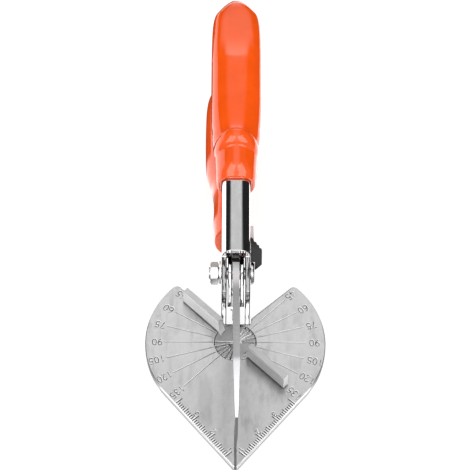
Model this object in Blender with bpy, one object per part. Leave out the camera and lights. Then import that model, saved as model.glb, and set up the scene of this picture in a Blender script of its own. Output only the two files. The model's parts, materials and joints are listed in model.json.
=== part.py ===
"""Mitre shears with a protractor table, a turning fence, a latch and a return spring.

The tool's own frame has X across, Y towards the handles and Z up from the table's face. Its
zero is where the fence's axis meets that face. The whole tool hangs on one empty, which is
turned until the table's tip and the lower grip rest on the ground, and then set on Z = 0.
"""

import math

import bmesh
import bpy
from mathutils import Matrix, Vector

# Clearances and cuts
FIT_GAP = 0.0003  # between pieces that rest on each other or pass through each other
OVERRUN = 0.006  # how far a cut runs past what it cuts
ROUND_STEPS = 28  # sides of a turned piece
ARC_STEPS = 8  # steps of a quarter round in an outline

# Protractor table
TABLE_RADIUS = 0.0357
TABLE_TIP = 0.0559
TABLE_THICKNESS = 0.0030
TABLE_CHAMFER = 0.0005
TABLE_TIP_ROUND = 0.0007
TABLE_LOBE_CORNER = (0.0231, 0.0266)
TABLE_LOBE_ROUND = 0.0014
NOTCH_HALF_WIDTH = 0.00635
NOTCH_DEPTH_AT = 0.0076
NOTCH_VERTEX_AT = 0.0113
TABLE_SLOT_WIDTH = 0.0008
TABLE_SLOT_DEPTH = 0.0016

# Fence, modelled with its bar along X
FENCE_DISC_RADIUS = 0.0081
FENCE_BOSS_RADIUS = 0.0032
FENCE_BAR_FRONT = 0.0016
FENCE_BAR_THICKNESS = 0.0025
FENCE_BAR_REACH = 0.0280
FENCE_BAR_START = 0.0054
FENCE_HEIGHT = 0.0079
FENCE_FOOT_RUN = 0.0026
FENCE_GROOVE_WIDTH = 0.0007
FENCE_GROOVE_DEPTH = 0.0015
FENCE_STEP = math.radians(15)
FENCE_FIRST = math.radians(45)
FENCE_GROOVES = 7

# Pivot and the angles of the handles
PIVOT_Y = 0.0260
PIVOT_Z = 0.0100
UPPER_RISE = math.radians(12)
LOWER_RISE = math.radians(2.5)
OPEN_ANGLE = math.radians(12.5)

# Upper frame: a pressed channel, open below, with a tongue under the table
CHANNEL_HALF_WIDTH = 0.00565
CHANNEL_SHEET = 0.0020
CHANNEL_ROOF = 0.0105
CHANNEL_SHOULDER = 0.0040
CHANNEL_BELOW = 0.0040
RIM_AT = 0.0058
RIM_LEAN = 0.0009
CHEEK_TOP = 0.0066
NOSE_RADIUS = 0.0120
BELLY_RADIUS = 0.0078
TAB_FRONT = 0.0083
TAB_RISE = 0.0008
TAB_REAR = 0.0150
TONGUE_SHEET = 0.0020
TONGUE_HALF_WIDTH = 0.0088
TONGUE_FRONT = 0.0360
TONGUE_REAR = 0.0104
TONGUE_ROUND = 0.0050

# Lower frame: a thinner channel, open above, with two cheeks beside the blade
BLADE_THICKNESS = 0.0027
CHEEK_SHEET = 0.0016
LOWER_HALF_WIDTH = 0.0049
LOWER_DEPTH = 0.0105
LOWER_TOP = -0.0069
JOGGLE_FROM = 0.0120
JOGGLE_TO = 0.0150
NECK_BOTTOM = -0.0135
EAR_TOP = 0.0068
EAR_RADIUS = 0.0072
CHEEK_FRONT = 0.0142
CHEEK_NOSE_DEPTH = 0.0045
MOUTH_AT = 0.0270

# Blade, in its closed place: the edge lies along Y below the table's face
EDGE_SINK = 0.0010
BLADE_TIP = 0.0815
BLADE_NOSE_HEIGHT = 0.0170
BLADE_CREST_AT = 0.0589
BLADE_CREST_HEIGHT = 0.0248
BLADE_HEEL = 0.0130
BLADE_SPINE_AT_PIVOT = 0.0064
BLADE_TANG = 0.0085
BLADE_GRIND_HEIGHT = 0.0160
BLADE_EDGE = 0.0001
BLADE_NOSE_THICKNESS = 0.0011
BLADE_GRIND_REAR = 0.0155
BLADE_PIN_RADIUS = 0.0010
BLADE_PIN_PROUD = 0.0008
BLADE_PIN_AT = (-0.0192, -0.0002)
BLADE_RIVET_RADIUS = 0.0016
BLADE_RIVET_AT = (-0.0078, -0.0028)

# Grips: a superellipse section, wider and deeper along the handle
GRIP_RINGS_ROUND = 28
GRIP_SQUARENESS = 2.8
UPPER_GRIP_START = 0.0367
UPPER_GRIP_LENGTH = 0.0880
UPPER_GRIP_HALF_WIDTH = 0.0104
UPPER_GRIP_TOP = 0.0130
UPPER_GRIP_BOTTOM = 0.0094
LOWER_GRIP_START = 0.0273
LOWER_GRIP_LENGTH = 0.1002
LOWER_GRIP_HALF_WIDTH = 0.0115
LOWER_GRIP_TOP = 0.0100
LOWER_GRIP_BOTTOM = 0.0123
LOWER_GRIP_MIDDLE = -0.0122
LOWER_GRIP_OFFSET = -0.0012
REST_FLAT_DEPTH = 0.0005
UPPER_GRIP_END_WALL = 0.0297  # solid grip behind the end of the frame that it holds
LOWER_GRIP_END_WALL = 0.0175
CHANNEL_END = UPPER_GRIP_START + UPPER_GRIP_LENGTH - UPPER_GRIP_END_WALL
LOWER_END = LOWER_GRIP_START + LOWER_GRIP_LENGTH - LOWER_GRIP_END_WALL

# Shares of the grip's length, half width, top and bottom, front to back
upper_grip_shares = (
    (0.000, 0.735, 0.990, 0.690),
    (0.045, 0.765, 1.070, 0.760),
    (0.110, 0.815, 1.200, 0.860),
    (0.175, 0.880, 1.360, 0.950),
    (0.215, 0.920, 1.440, 0.990),
    (0.236, 0.940, 1.410, 1.000),
    (0.262, 0.960, 1.170, 1.005),
    (0.300, 0.978, 1.050, 1.000),
    (0.400, 1.000, 1.005, 0.935),
    (0.520, 1.000, 1.000, 0.910),
    (0.640, 0.975, 0.985, 0.960),
    (0.730, 0.930, 0.930, 1.060),
    (0.810, 0.870, 0.800, 1.200),
    (0.880, 0.780, 0.580, 1.300),
    (0.935, 0.640, 0.330, 1.300),
    (0.975, 0.430, 0.060, 1.180),
    (1.000, 0.190, -0.220, 0.960),
)
lower_grip_shares = (
    (0.000, 0.635, 0.880, 0.715),
    (0.027, 0.650, 0.900, 0.740),
    (0.114, 0.687, 0.920, 0.765),
    (0.177, 0.670, 0.930, 0.797),
    (0.247, 0.687, 0.950, 0.870),
    (0.321, 0.757, 0.980, 0.960),
    (0.366, 0.860, 0.990, 1.016),
    (0.416, 0.948, 1.000, 1.040),
    (0.506, 0.990, 1.020, 1.024),
    (0.626, 1.000, 1.010, 1.000),
    (0.775, 0.990, 0.950, 1.000),
    (0.865, 0.948, 0.790, 0.960),
    (0.935, 0.810, 0.540, 0.800),
    (0.980, 0.557, 0.290, 0.553),
    (1.000, 0.260, 0.070, 0.310),
)

# Bolt, nut, washers and screws
BOLT_RADIUS = 0.0025
BOLT_HEAD_RADIUS = 0.0046
BOLT_HEAD_HEIGHT = 0.0014
BOLT_SOCKET_RADIUS = 0.0016
BOLT_SOCKET_DEPTH = 0.0009
BOLT_TIP = 0.0003
WASHER_RADIUS = 0.0050
WASHER_SHEET = 0.0006
NUT_ACROSS_FLATS = 0.0080
NUT_HEIGHT = 0.0033
NUT_CHAMFER = 0.0007
TABLE_SCREW_RADIUS = 0.0015
TABLE_SCREW_HEAD = 0.0028
TABLE_SCREW_BITE = 0.0018
TABLE_SCREW_ASIDE = 0.0052
TABLE_SCREW_FRONT = 0.0300
TABLE_SCREW_REAR = 0.0165
DRIVE_RADIUS = 0.0012
DRIVE_DEPTH = 0.0008
FENCE_SCREW_RADIUS = 0.0020
FENCE_SCREW_HEAD = 0.0037
FENCE_SCREW_HEAD_HEIGHT = 0.0020
FENCE_SCREW_BITE = 0.0036
FENCE_WASHER_RADIUS = 0.0048
STOP_PIN_RADIUS = 0.0013
STOP_PIN_AT = (0.0135, 0.0050)
STOP_FACE = (0.0011, 0.0005)

# Return spring, upright on the ground, and its seats
SPRING_WIRE = 0.0011
SPRING_RADIUS = 0.0023
SPRING_CURLS = 9
SPRING_POINTS = 10
SPRING_FOOT_AT = 0.0195
SEAT_RADIUS = 0.0029
SEAT_POST_RADIUS = 0.0014
SEAT_POST_HEIGHT = 0.0030
SEAT_FLANGE = 0.0022

# Latch on the right wall
LATCH_AXIS_AT = (0.0080, 0.0036)
LATCH_SHEET = 0.0012
LATCH_HUB_RADIUS = 0.0036
LATCH_ARM_WIDTH = 0.0030
LATCH_SWING = math.radians(13)
LATCH_STUD_AT = (0.0185, -0.0075)
LATCH_STUD_RADIUS = 0.0012
LATCH_HOOK_SHEET = 0.0016
LATCH_HOOK_HOLD = 0.0012
LATCH_RIVET_RADIUS = 0.0013
LATCH_RIVET_HEAD = 0.0021
LATCH_RIVET_HEAD_HEIGHT = 0.0007
CAP_LEAN = math.radians(34)
CAP_LENGTH = 0.0129
CAP_FRONT = 0.0070
CAP_HALF_HEIGHT = 0.0046
CAP_THICKNESS = 0.0044
CAP_ROUND = 0.0012
CAP_FOOT = 0.0040

# Shares of the cap's length and thickness, front to back, stepped for the thumb
cap_profile_shares = (
    (0.00, 0.00),
    (0.00, 0.45),
    (0.16, 0.99),
    (0.60, 1.00),
    (0.66, 0.93),
    (0.68, 0.76),
    (0.76, 0.72),
    (0.78, 0.55),
    (0.85, 0.47),
    (0.87, 0.30),
    (0.96, 0.20),
    (1.00, 0.06),
    (1.00, 0.00),
)


def clear_scene():
    """Remove every object of the scene."""
    for item in list(bpy.data.objects):
        bpy.data.objects.remove(item, do_unlink=True)


def material(name, colour, roughness, metallic):
    """Make one plain material."""
    made = bpy.data.materials.new(name)
    made.use_nodes = True
    shader = made.node_tree.nodes["Principled BSDF"]
    shader.inputs["Base Color"].default_value = (*colour, 1.0)
    shader.inputs["Roughness"].default_value = roughness
    shader.inputs["Metallic"].default_value = metallic
    made.diffuse_color = (*colour, 1.0)
    return made


def empty(name, parent=None, place=(0, 0, 0), turn=(0, 0, 0)):
    """Add an empty that pieces hang on."""
    made = bpy.data.objects.new(name, None)
    bpy.context.scene.collection.objects.link(made)
    made.parent = parent
    made.location = place
    made.rotation_euler = turn
    return made


def add(name, shape, parent, finish=None, place=(0, 0, 0), turn=(0, 0, 0), smooth=True):
    """Add a mesh made from a bmesh, with its faces pointing out."""
    bmesh.ops.recalc_face_normals(shape, faces=shape.faces)
    mesh = bpy.data.meshes.new(name)
    shape.to_mesh(mesh)
    shape.free()
    if smooth:
        mesh.shade_smooth()
        mesh.set_sharp_from_angle(angle=math.radians(32))
    made = bpy.data.objects.new(name, mesh)
    bpy.context.scene.collection.objects.link(made)
    made.parent = parent
    made.location = place
    made.rotation_euler = turn
    if finish:
        mesh.materials.append(finish)
    return made


def boolean(target, tool, operation):
    """Cut, join or trim a piece with a hidden tool."""
    tool.hide_render = True
    tool.display_type = "WIRE"
    step = target.modifiers.new(f"{operation.lower()}_{tool.name}", "BOOLEAN")
    step.operation = operation
    step.solver = "EXACT"
    step.object = tool


def cut(target, tool):
    """Take the tool's space out of a piece."""
    boolean(target, tool, "DIFFERENCE")


def fuse(target, tool):
    """Join the tool's solid to a piece."""
    boolean(target, tool, "UNION")


def trim(target, tool):
    """Keep only what lies inside the tool."""
    boolean(target, tool, "INTERSECT")


def extruded(outline, low, high, place):
    """Extrude an outline between two depths; place turns (a, b, depth) into a point."""
    shape = bmesh.new()
    near = [shape.verts.new(place(a, b, low)) for a, b in outline]
    far = [shape.verts.new(place(a, b, high)) for a, b in outline]
    shape.faces.new(near)
    shape.faces.new(far)
    for here, after in zip(range(len(outline)), [*range(1, len(outline)), 0], strict=True):
        shape.faces.new((near[here], near[after], far[after], far[here]))
    return shape


def across(outline, left, right):
    """Extrude a side outline of (y, z) points along X."""
    return extruded(outline, left, right, lambda a, b, depth: (depth, a, b))


def upright(outline, low, high):
    """Extrude a plan outline of (x, y) points along Z."""
    return extruded(outline, low, high, lambda a, b, depth: (a, b, depth))


def box(low, high):
    """A box between two corners."""
    plan = [(low[0], low[1]), (high[0], low[1]), (high[0], high[1]), (low[0], high[1])]
    return upright(plan, low[2], high[2])


def arc(centre, radius, start, stop, steps=ARC_STEPS):
    """Points on an arc, both ends included."""
    angles = [start + (stop - start) * step / steps for step in range(steps + 1)]
    return [
        (centre[0] + radius * math.cos(angle), centre[1] + radius * math.sin(angle))
        for angle in angles
    ]


def rounded_corner(before, corner, after, radius, steps=ARC_STEPS):
    """An arc that rounds one corner of an outline."""
    corner = Vector(corner)
    back = (Vector(before) - corner).normalized()
    ahead = (Vector(after) - corner).normalized()
    half = back.angle(ahead) / 2
    centre = corner + (back + ahead).normalized() * radius / math.sin(half)
    start = corner + back * radius / math.tan(half) - centre
    stop = corner + ahead * radius / math.tan(half) - centre
    turn = math.atan2(start.x * stop.y - start.y * stop.x, start.dot(stop))
    begin = math.atan2(start.y, start.x)
    return arc(centre, radius, begin, begin + turn, steps)


def turned(profile, steps=ROUND_STEPS):
    """Turn a profile of (radius, height) points about Z, closed at both ends."""
    shape = bmesh.new()
    rings = []
    for radius, height in profile:
        if radius == 0:
            rings.append([shape.verts.new((0, 0, height))])
            continue
        angles = [2 * math.pi * step / steps for step in range(steps)]
        ring = [(radius * math.cos(a), radius * math.sin(a), height) for a in angles]
        rings.append([shape.verts.new(point) for point in ring])
    for low, high in zip(rings, rings[1:], strict=False):
        for step in range(steps):
            after = (step + 1) % steps
            if len(low) == 1:
                shape.faces.new((low[0], high[step], high[after]))
            elif len(high) == 1:
                shape.faces.new((low[step], low[after], high[0]))
            else:
                shape.faces.new((low[step], low[after], high[after], high[step]))
    for ring in (rings[0], rings[-1]):
        if len(ring) > 1:
            shape.faces.new(ring)
    return shape


def ring_shape(inner, outer, height, steps=ROUND_STEPS):
    """A flat ring from Z = 0 up."""
    shape = bmesh.new()
    rings = []
    for radius, level in ((inner, 0), (outer, 0), (outer, height), (inner, height)):
        angles = [2 * math.pi * step / steps for step in range(steps)]
        ring = [(radius * math.cos(a), radius * math.sin(a), level) for a in angles]
        rings.append([shape.verts.new(point) for point in ring])
    for low, high in zip(rings, [*rings[1:], rings[0]], strict=True):
        for step in range(steps):
            after = (step + 1) % steps
            shape.faces.new((low[step], low[after], high[after], high[step]))
    return shape


def pin(name, radius, low, high, parent, place, steps=ROUND_STEPS):
    """A cutter or pin along X between two places."""
    shape = turned(((radius, low), (radius, high)), steps)
    bmesh.ops.rotate(shape, verts=shape.verts, matrix=Matrix.Rotation(math.pi / 2, 3, "Y"))
    return add(name, shape, parent, None, place)


def along_x(shape):
    """Turn a shape made along Z so that it lies along X."""
    bmesh.ops.rotate(shape, verts=shape.verts, matrix=Matrix.Rotation(math.pi / 2, 3, "Y"))
    return shape


def handle_to_tool(along, up, rise=UPPER_RISE):
    """A point of a handle's frame at the pivot, as a (y, z) point of the tool's frame."""
    return (
        PIVOT_Y + along * math.cos(rise) - up * math.sin(rise),
        PIVOT_Z + along * math.sin(rise) + up * math.cos(rise),
    )


def channel_section(half_width, sheet, roof, shoulder, depth):
    """Outer and inner outlines of a channel with round shoulders, as (x, z) points."""
    outer = [(half_width, -depth)]
    outer += arc((half_width - shoulder, roof - shoulder), shoulder, 0, math.pi / 2)
    outer += arc((shoulder - half_width, roof - shoulder), shoulder, math.pi / 2, math.pi)
    outer += [(-half_width, -depth)]
    bend = shoulder - sheet
    inner = [(half_width - sheet, -depth)]
    inner += arc((half_width - shoulder, roof - shoulder), bend, 0, math.pi / 2)
    inner += arc((shoulder - half_width, roof - shoulder), bend, math.pi / 2, math.pi)
    inner += [(sheet - half_width, -depth)]
    return outer, inner


def channel(half_width, sheet, roof, shoulder, depth, start, stop):
    """A channel along Y, built as a strip between its outer and inner outlines."""
    outer, inner = channel_section(half_width, sheet, roof, shoulder, depth)
    shape = bmesh.new()
    ends = []
    for y in (start, stop):
        rows = [[shape.verts.new((x, y, z)) for x, z in line] for line in (outer, inner)]
        ends.append(rows)
    count = len(outer)
    for step in range(count - 1):
        for near, far in ((0, 0), (1, 1)):
            first, last = ends[0][near], ends[1][far]
            shape.faces.new((first[step], first[step + 1], last[step + 1], last[step]))
        for rows in ends:
            quad = (rows[0][step], rows[0][step + 1], rows[1][step + 1], rows[1][step])
            shape.faces.new(quad)
    for step in (0, count - 1):
        quad = (ends[0][0][step], ends[0][1][step], ends[1][1][step], ends[1][0][step])
        shape.faces.new(quad)
    return shape


def upper_side_outline():
    """Side outline of the upper frame: tab, nose, cheek tops, rim, roof, belly."""
    pivot = (PIVOT_Y, PIVOT_Z)
    foot = -TABLE_THICKNESS - FIT_GAP - 0.5 * TONGUE_SHEET
    nose_top = math.pi + UPPER_RISE - math.asin(CHEEK_TOP / NOSE_RADIUS)
    tab_angle = math.pi + math.acos((PIVOT_Y - TAB_REAR) / NOSE_RADIUS)
    points = [(TAB_FRONT, foot), (TAB_FRONT, 0), (TAB_FRONT + TAB_RISE, TAB_RISE)]
    points += arc(pivot, NOSE_RADIUS, tab_angle, nose_top, 2 * ARC_STEPS)
    lean = RIM_LEAN / (CHANNEL_ROOF - CHEEK_TOP)
    points += [handle_to_tool(RIM_AT - RIM_LEAN, CHEEK_TOP)]
    points += [handle_to_tool(RIM_AT + lean * OVERRUN, CHANNEL_ROOF + OVERRUN)]
    points += [handle_to_tool(CHANNEL_END, CHANNEL_ROOF + OVERRUN)]
    points += [handle_to_tool(CHANNEL_END, -CHANNEL_BELOW)]
    points += [handle_to_tool(NOSE_RADIUS, -CHANNEL_BELOW)]
    points += arc(pivot, BELLY_RADIUS, -math.pi / 3, -2 * math.pi / 3, ARC_STEPS)
    points += [(TAB_REAR, foot)]
    return points


def make_upper_frame(root, handle, finish):
    """Pressed channel of the upper handle, its two cheeks and the tongue under the table."""
    wall = PIVOT_Z + TABLE_THICKNESS + OVERRUN + NOSE_RADIUS
    shape = channel(
        CHANNEL_HALF_WIDTH, CHANNEL_SHEET, CHANNEL_ROOF, CHANNEL_SHOULDER, wall,
        -PIVOT_Y, CHANNEL_END + OVERRUN,
    )
    frame = add("upper_frame", shape, handle, finish)
    reach = CHANNEL_HALF_WIDTH + OVERRUN
    outline = across(upper_side_outline(), -reach, reach)
    trim(frame, add("upper_side_outline", outline, root))
    inner = CHANNEL_HALF_WIDTH - CHANNEL_SHEET
    top = -TABLE_THICKNESS - FIT_GAP
    plan = [(-TONGUE_HALF_WIDTH, TONGUE_REAR), (TONGUE_HALF_WIDTH, TONGUE_REAR)]
    corner_y = -TONGUE_FRONT + TONGUE_ROUND
    corner_x = TONGUE_HALF_WIDTH - TONGUE_ROUND
    plan = plan[::-1]
    plan += arc((-corner_x, corner_y), TONGUE_ROUND, math.pi, 1.5 * math.pi)
    plan += arc((corner_x, corner_y), TONGUE_ROUND, -0.5 * math.pi, 0)
    tongue = add("tongue", upright(plan[::-1], top - TONGUE_SHEET, top), root)
    fuse(frame, tongue)
    bore = BOLT_RADIUS + FIT_GAP
    at = (0, PIVOT_Y, PIVOT_Z)
    cut(frame, pin("pivot_hole", bore, -reach, reach, root, at))
    rivet_at = (0, PIVOT_Y + LATCH_AXIS_AT[0], PIVOT_Z + LATCH_AXIS_AT[1])
    rivet = LATCH_RIVET_RADIUS + FIT_GAP
    cut(frame, pin("latch_rivet_hole", rivet, 0.5 * inner, reach, root, rivet_at))
    stop = STOP_PIN_RADIUS + FIT_GAP
    cut(frame, pin("stop_pin_hole", stop, -reach, reach, handle, (0, *STOP_PIN_AT)))
    boss = turned(((FENCE_BOSS_RADIUS + FIT_GAP, top - OVERRUN), (FENCE_BOSS_RADIUS + FIT_GAP, 0)))
    cut(frame, add("fence_boss_hole", boss, root))
    for name, x, y in table_screw_places():
        hole = turned(table_screw_profile(FIT_GAP))
        cut(frame, add(f"{name}_hole", hole, root, None, (x, y, 0)))
    return frame


def table_screw_places():
    """Name and place of each of the four screws under the table."""
    return [
        ("table_screw_front_left", -TABLE_SCREW_ASIDE, -TABLE_SCREW_FRONT),
        ("table_screw_front_right", TABLE_SCREW_ASIDE, -TABLE_SCREW_FRONT),
        ("table_screw_rear_left", -TABLE_SCREW_ASIDE, -TABLE_SCREW_REAR),
        ("table_screw_rear_right", TABLE_SCREW_ASIDE, -TABLE_SCREW_REAR),
    ]


def table_screw_profile(gap):
    """Countersunk screw from below; with a gap it is its hole, run past the tongue."""
    under = -TABLE_THICKNESS - FIT_GAP - TONGUE_SHEET
    cone = TABLE_SCREW_HEAD - TABLE_SCREW_RADIUS
    past = OVERRUN if gap else 0
    return (
        (TABLE_SCREW_HEAD + gap + past, under - past),
        (TABLE_SCREW_RADIUS + gap, under + cone),
        (TABLE_SCREW_RADIUS + gap, TABLE_SCREW_BITE - TABLE_THICKNESS + gap),
    )


def make_table_screws(root, finish):
    """Four countersunk screws that hold the table on the tongue."""
    under = -TABLE_THICKNESS - FIT_GAP - TONGUE_SHEET
    for name, x, y in table_screw_places():
        screw = add(name, turned(table_screw_profile(0)), root, finish, (x, y, 0))
        drive = turned(((DRIVE_RADIUS, -OVERRUN), (DRIVE_RADIUS, DRIVE_DEPTH)), 6)
        cut(screw, add(f"{name}_drive", drive, root, None, (x, y, under), smooth=False))


def table_outline():
    """Plan of the table: a disc with a drawn-out tip, two rear lobes and a notch."""
    half = math.asin(TABLE_RADIUS / TABLE_TIP)
    tip = (0, -TABLE_TIP)
    touch = (TABLE_RADIUS * math.cos(half), -TABLE_RADIUS * math.sin(half))
    lobe_angle = math.atan2(TABLE_LOBE_CORNER[1], TABLE_LOBE_CORNER[0])
    vertex = (NOTCH_HALF_WIDTH, NOTCH_VERTEX_AT)
    corner = (TABLE_RADIUS * math.cos(lobe_angle), TABLE_RADIUS * math.sin(lobe_angle))
    mirror_touch = (-touch[0], touch[1])
    tip_points = rounded_corner(mirror_touch, tip, touch, TABLE_TIP_ROUND, ARC_STEPS // 2)
    tangent = (corner[0] + corner[1], corner[1] - corner[0])
    corner_points = rounded_corner(tangent, corner, vertex, TABLE_LOBE_ROUND, ARC_STEPS // 2)
    start = -half
    stop = lobe_angle - TABLE_LOBE_ROUND / TABLE_RADIUS
    side = arc((0, 0), TABLE_RADIUS, start, stop, 3 * ARC_STEPS)
    right = [*side, *corner_points, vertex, (NOTCH_HALF_WIDTH, NOTCH_DEPTH_AT)]
    left = [(-x, y) for x, y in reversed(right)]
    return [*tip_points, *right, *left]


def make_table(root, finish):
    """Heart-shaped protractor plate with its notch, blade slot and hole for the fence."""
    shape = upright(table_outline(), -TABLE_THICKNESS, 0)
    top = [edge for edge in shape.edges if all(vert.co.z > -TABLE_CHAMFER for vert in edge.verts)]
    bmesh.ops.bevel(shape, geom=top, offset=TABLE_CHAMFER, segments=1, affect="EDGES")
    table = add("protractor_table", shape, root, finish)
    hole = FENCE_DISC_RADIUS + FIT_GAP
    disc = turned(((hole, -TABLE_THICKNESS - OVERRUN), (hole, OVERRUN)), 2 * ROUND_STEPS)
    cut(table, add("fence_hole", disc, root))
    half = TABLE_SLOT_WIDTH / 2
    slot = box((-half, -TABLE_TIP - OVERRUN, -TABLE_SLOT_DEPTH), (half, 0, OVERRUN))
    cut(table, add("blade_slot", slot, root))
    for name, x, y in table_screw_places():
        hole = TABLE_SCREW_RADIUS + FIT_GAP
        low = -TABLE_THICKNESS - OVERRUN
        high = TABLE_SCREW_BITE - TABLE_THICKNESS + FIT_GAP
        shape = turned(((hole, low), (hole, high)))
        cut(table, add(f"{name}_seat", shape, root, None, (x, y, 0)))


def groove_star():
    """Outline from above of the blade's grooves, which cross on the fence's axis."""
    half = FENCE_GROOVE_WIDTH / 2
    reach = FENCE_DISC_RADIUS + FIT_GAP
    angles = [FENCE_FIRST + step * FENCE_STEP for step in range(FENCE_GROOVES)]
    angles += [math.pi + angle for angle in angles]
    points = []
    for angle, following in zip(angles, [*angles[1:], 2 * math.pi + angles[0]]):
        for side in (-half, half):
            x = reach * math.cos(angle) - side * math.sin(angle)
            y = reach * math.sin(angle) + side * math.cos(angle)
            points.append((x, y))
        between = (following - angle) / 2
        corner = half / math.sin(between)
        points.append(
            (corner * math.cos(angle + between), corner * math.sin(angle + between))
        )
    return points


def make_fence(axis, finish):
    """Round base with two square arms and a groove for the blade at each 15 degree step."""
    low = -TABLE_THICKNESS
    boss_end = low - FIT_GAP - TONGUE_SHEET
    profile = (
        (FENCE_BOSS_RADIUS, boss_end),
        (FENCE_BOSS_RADIUS, low),
        (FENCE_DISC_RADIUS, low),
        (FENCE_DISC_RADIUS, 0),
    )
    fence = add("fence", turned(profile, 2 * ROUND_STEPS), axis, finish)
    root_x = FENCE_DISC_RADIUS - FIT_GAP
    for name, side in (("fence_arm_left", -1), ("fence_arm_right", 1)):
        outline = [(FENCE_BAR_START, low / 2)]
        rise = FENCE_HEIGHT + FIT_GAP
        for x, z in arc((0, FENCE_HEIGHT), rise, -math.pi / 2, 0):
            outline.append((FENCE_BAR_START + FENCE_FOOT_RUN * x / rise, z))
        outline += [(FENCE_BAR_REACH, FENCE_HEIGHT), (FENCE_BAR_REACH, FIT_GAP)]
        outline += [(root_x, FIT_GAP), (root_x, low / 2)]
        outline = [(side * x, z) for x, z in outline]
        shape = extruded(
            outline, -FENCE_BAR_FRONT, FENCE_BAR_THICKNESS - FENCE_BAR_FRONT,
            lambda a, b, depth: (a, depth, b),
        )
        fuse(fence, add(name, shape, axis))
    cut(fence, add("blade_grooves", upright(groove_star(), -FENCE_GROOVE_DEPTH, FIT_GAP), axis))
    bore = FENCE_SCREW_RADIUS + FIT_GAP
    shape = turned(((bore, boss_end - OVERRUN), (bore, boss_end + FENCE_SCREW_BITE)))
    cut(fence, add("fence_screw_hole", shape, axis))


def make_fence_screw(axis, root, finish):
    """Screw and washer that hold the fence down on the tongue."""
    under = -TABLE_THICKNESS - FIT_GAP - TONGUE_SHEET
    washer_top = under - FIT_GAP
    shape = ring_shape(FENCE_SCREW_RADIUS + FIT_GAP, FENCE_WASHER_RADIUS, WASHER_SHEET)
    add("fence_washer", shape, root, finish, (0, 0, washer_top - WASHER_SHEET))
    head_top = washer_top - WASHER_SHEET - FIT_GAP
    head_low = head_top - FENCE_SCREW_HEAD_HEIGHT
    crown = FENCE_SCREW_HEAD_HEIGHT / 4
    profile = (
        (FENCE_SCREW_HEAD - crown, head_low),
        (FENCE_SCREW_HEAD, head_low + crown),
        (FENCE_SCREW_HEAD, head_top),
        (FENCE_SCREW_RADIUS, head_top),
        (FENCE_SCREW_RADIUS, under + FENCE_SCREW_BITE - FIT_GAP),
    )
    screw = add("fence_screw", turned(profile), axis, finish)
    drive = turned(((DRIVE_RADIUS, -OVERRUN), (DRIVE_RADIUS, DRIVE_DEPTH)), 6)
    cut(screw, add("fence_screw_drive", drive, axis, None, (0, 0, head_low), smooth=False))


def lower_rise_line(along, up):
    """A point of the lower handle's frame, as a (y, z) point at the pivot, jaws closed."""
    return (
        along * math.cos(LOWER_RISE) - up * math.sin(LOWER_RISE),
        along * math.sin(LOWER_RISE) + up * math.cos(LOWER_RISE),
    )


def floor_line(above, start):
    """Points of the lower frame's floor from the neck to the rear, raised by some height."""
    mouth = lower_rise_line(MOUTH_AT, LOWER_TOP - LOWER_DEPTH)
    rear = lower_rise_line(LOWER_END + OVERRUN, LOWER_TOP - LOWER_DEPTH)
    fall = (mouth[1] - NECK_BOTTOM) / (mouth[0] - JOGGLE_FROM)
    neck = (start, NECK_BOTTOM + fall * (start - JOGGLE_FROM))
    return [(y, z + above) for y, z in (neck, mouth, rear)]


def lower_side_outline():
    """Side outline of the lower frame: cheeks beside the blade, neck and channel."""
    bottom = LOWER_TOP - LOWER_DEPTH
    neck_top = 0.45 * LOWER_TOP
    points = [(-CHEEK_FRONT, -CHEEK_NOSE_DEPTH), (-CHEEK_FRONT, -CHEEK_NOSE_DEPTH / 2)]
    points += [(-CHEEK_FRONT + CHEEK_SHEET, 0)]
    points += [(-EAR_RADIUS, 0.78 * EAR_TOP), (-EAR_RADIUS / 2, EAR_TOP)]
    points += [(EAR_RADIUS / 2, 0.93 * EAR_TOP)]
    points += [(JOGGLE_FROM, neck_top), (JOGGLE_TO, 0.75 * LOWER_TOP)]
    points += [lower_rise_line(MOUTH_AT, LOWER_TOP), lower_rise_line(LOWER_END, LOWER_TOP)]
    points += [lower_rise_line(LOWER_END, bottom), lower_rise_line(MOUTH_AT, bottom)]
    points += [(JOGGLE_FROM, NECK_BOTTOM), (EAR_RADIUS / 3, -1.16 * EAR_RADIUS)]
    points += [(-EAR_RADIUS, -EAR_RADIUS)]
    return points


def cheek_plan(side):
    """Plan of one wall of the lower frame, with the joggle behind the pivot."""
    near = BLADE_THICKNESS / 2 + FIT_GAP
    wide = LOWER_HALF_WIDTH - CHEEK_SHEET
    front = -CHEEK_FRONT - OVERRUN
    end = LOWER_END + OVERRUN
    inner = [(near, front), (near, JOGGLE_FROM), (wide, JOGGLE_TO), (wide, end)]
    outer = [(x + CHEEK_SHEET, y) for x, y in reversed(inner)]
    return [(side * x, y) for x, y in [*inner, *outer]]


def make_lower_frame(jaw, finish):
    """Thin channel of the lower handle: two cheeks and a floor."""
    tall = EAR_TOP + OVERRUN
    deep = LOWER_TOP - LOWER_DEPTH - OVERRUN
    frame = add("lower_frame", upright(cheek_plan(1), deep, tall), jaw, finish)
    fuse(frame, add("left_cheek", upright(cheek_plan(-1), deep, tall), jaw))
    inside = LOWER_HALF_WIDTH - CHEEK_SHEET / 2
    points = floor_line(CHEEK_SHEET, JOGGLE_TO)
    points += [(LOWER_END + OVERRUN, deep - OVERRUN), (JOGGLE_TO, deep - OVERRUN)]
    fuse(frame, add("lower_floor", across(points, -inside, inside), jaw))
    reach = LOWER_HALF_WIDTH + OVERRUN
    trim(frame, add("lower_side_outline", across(lower_side_outline(), -reach, reach), jaw))
    bore = BOLT_RADIUS + FIT_GAP
    cut(frame, pin("lower_pivot_hole", bore, -reach, reach, jaw, (0, 0, 0)))
    rivet = BLADE_RIVET_RADIUS + FIT_GAP
    cut(frame, pin("blade_rivet_hole", rivet, -reach, reach, jaw, (0, *BLADE_RIVET_AT)))
    stud = LATCH_STUD_RADIUS + FIT_GAP
    cut(frame, pin("latch_stud_hole", stud, 0, reach, jaw, (0, *LATCH_STUD_AT)))
    return frame


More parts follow.
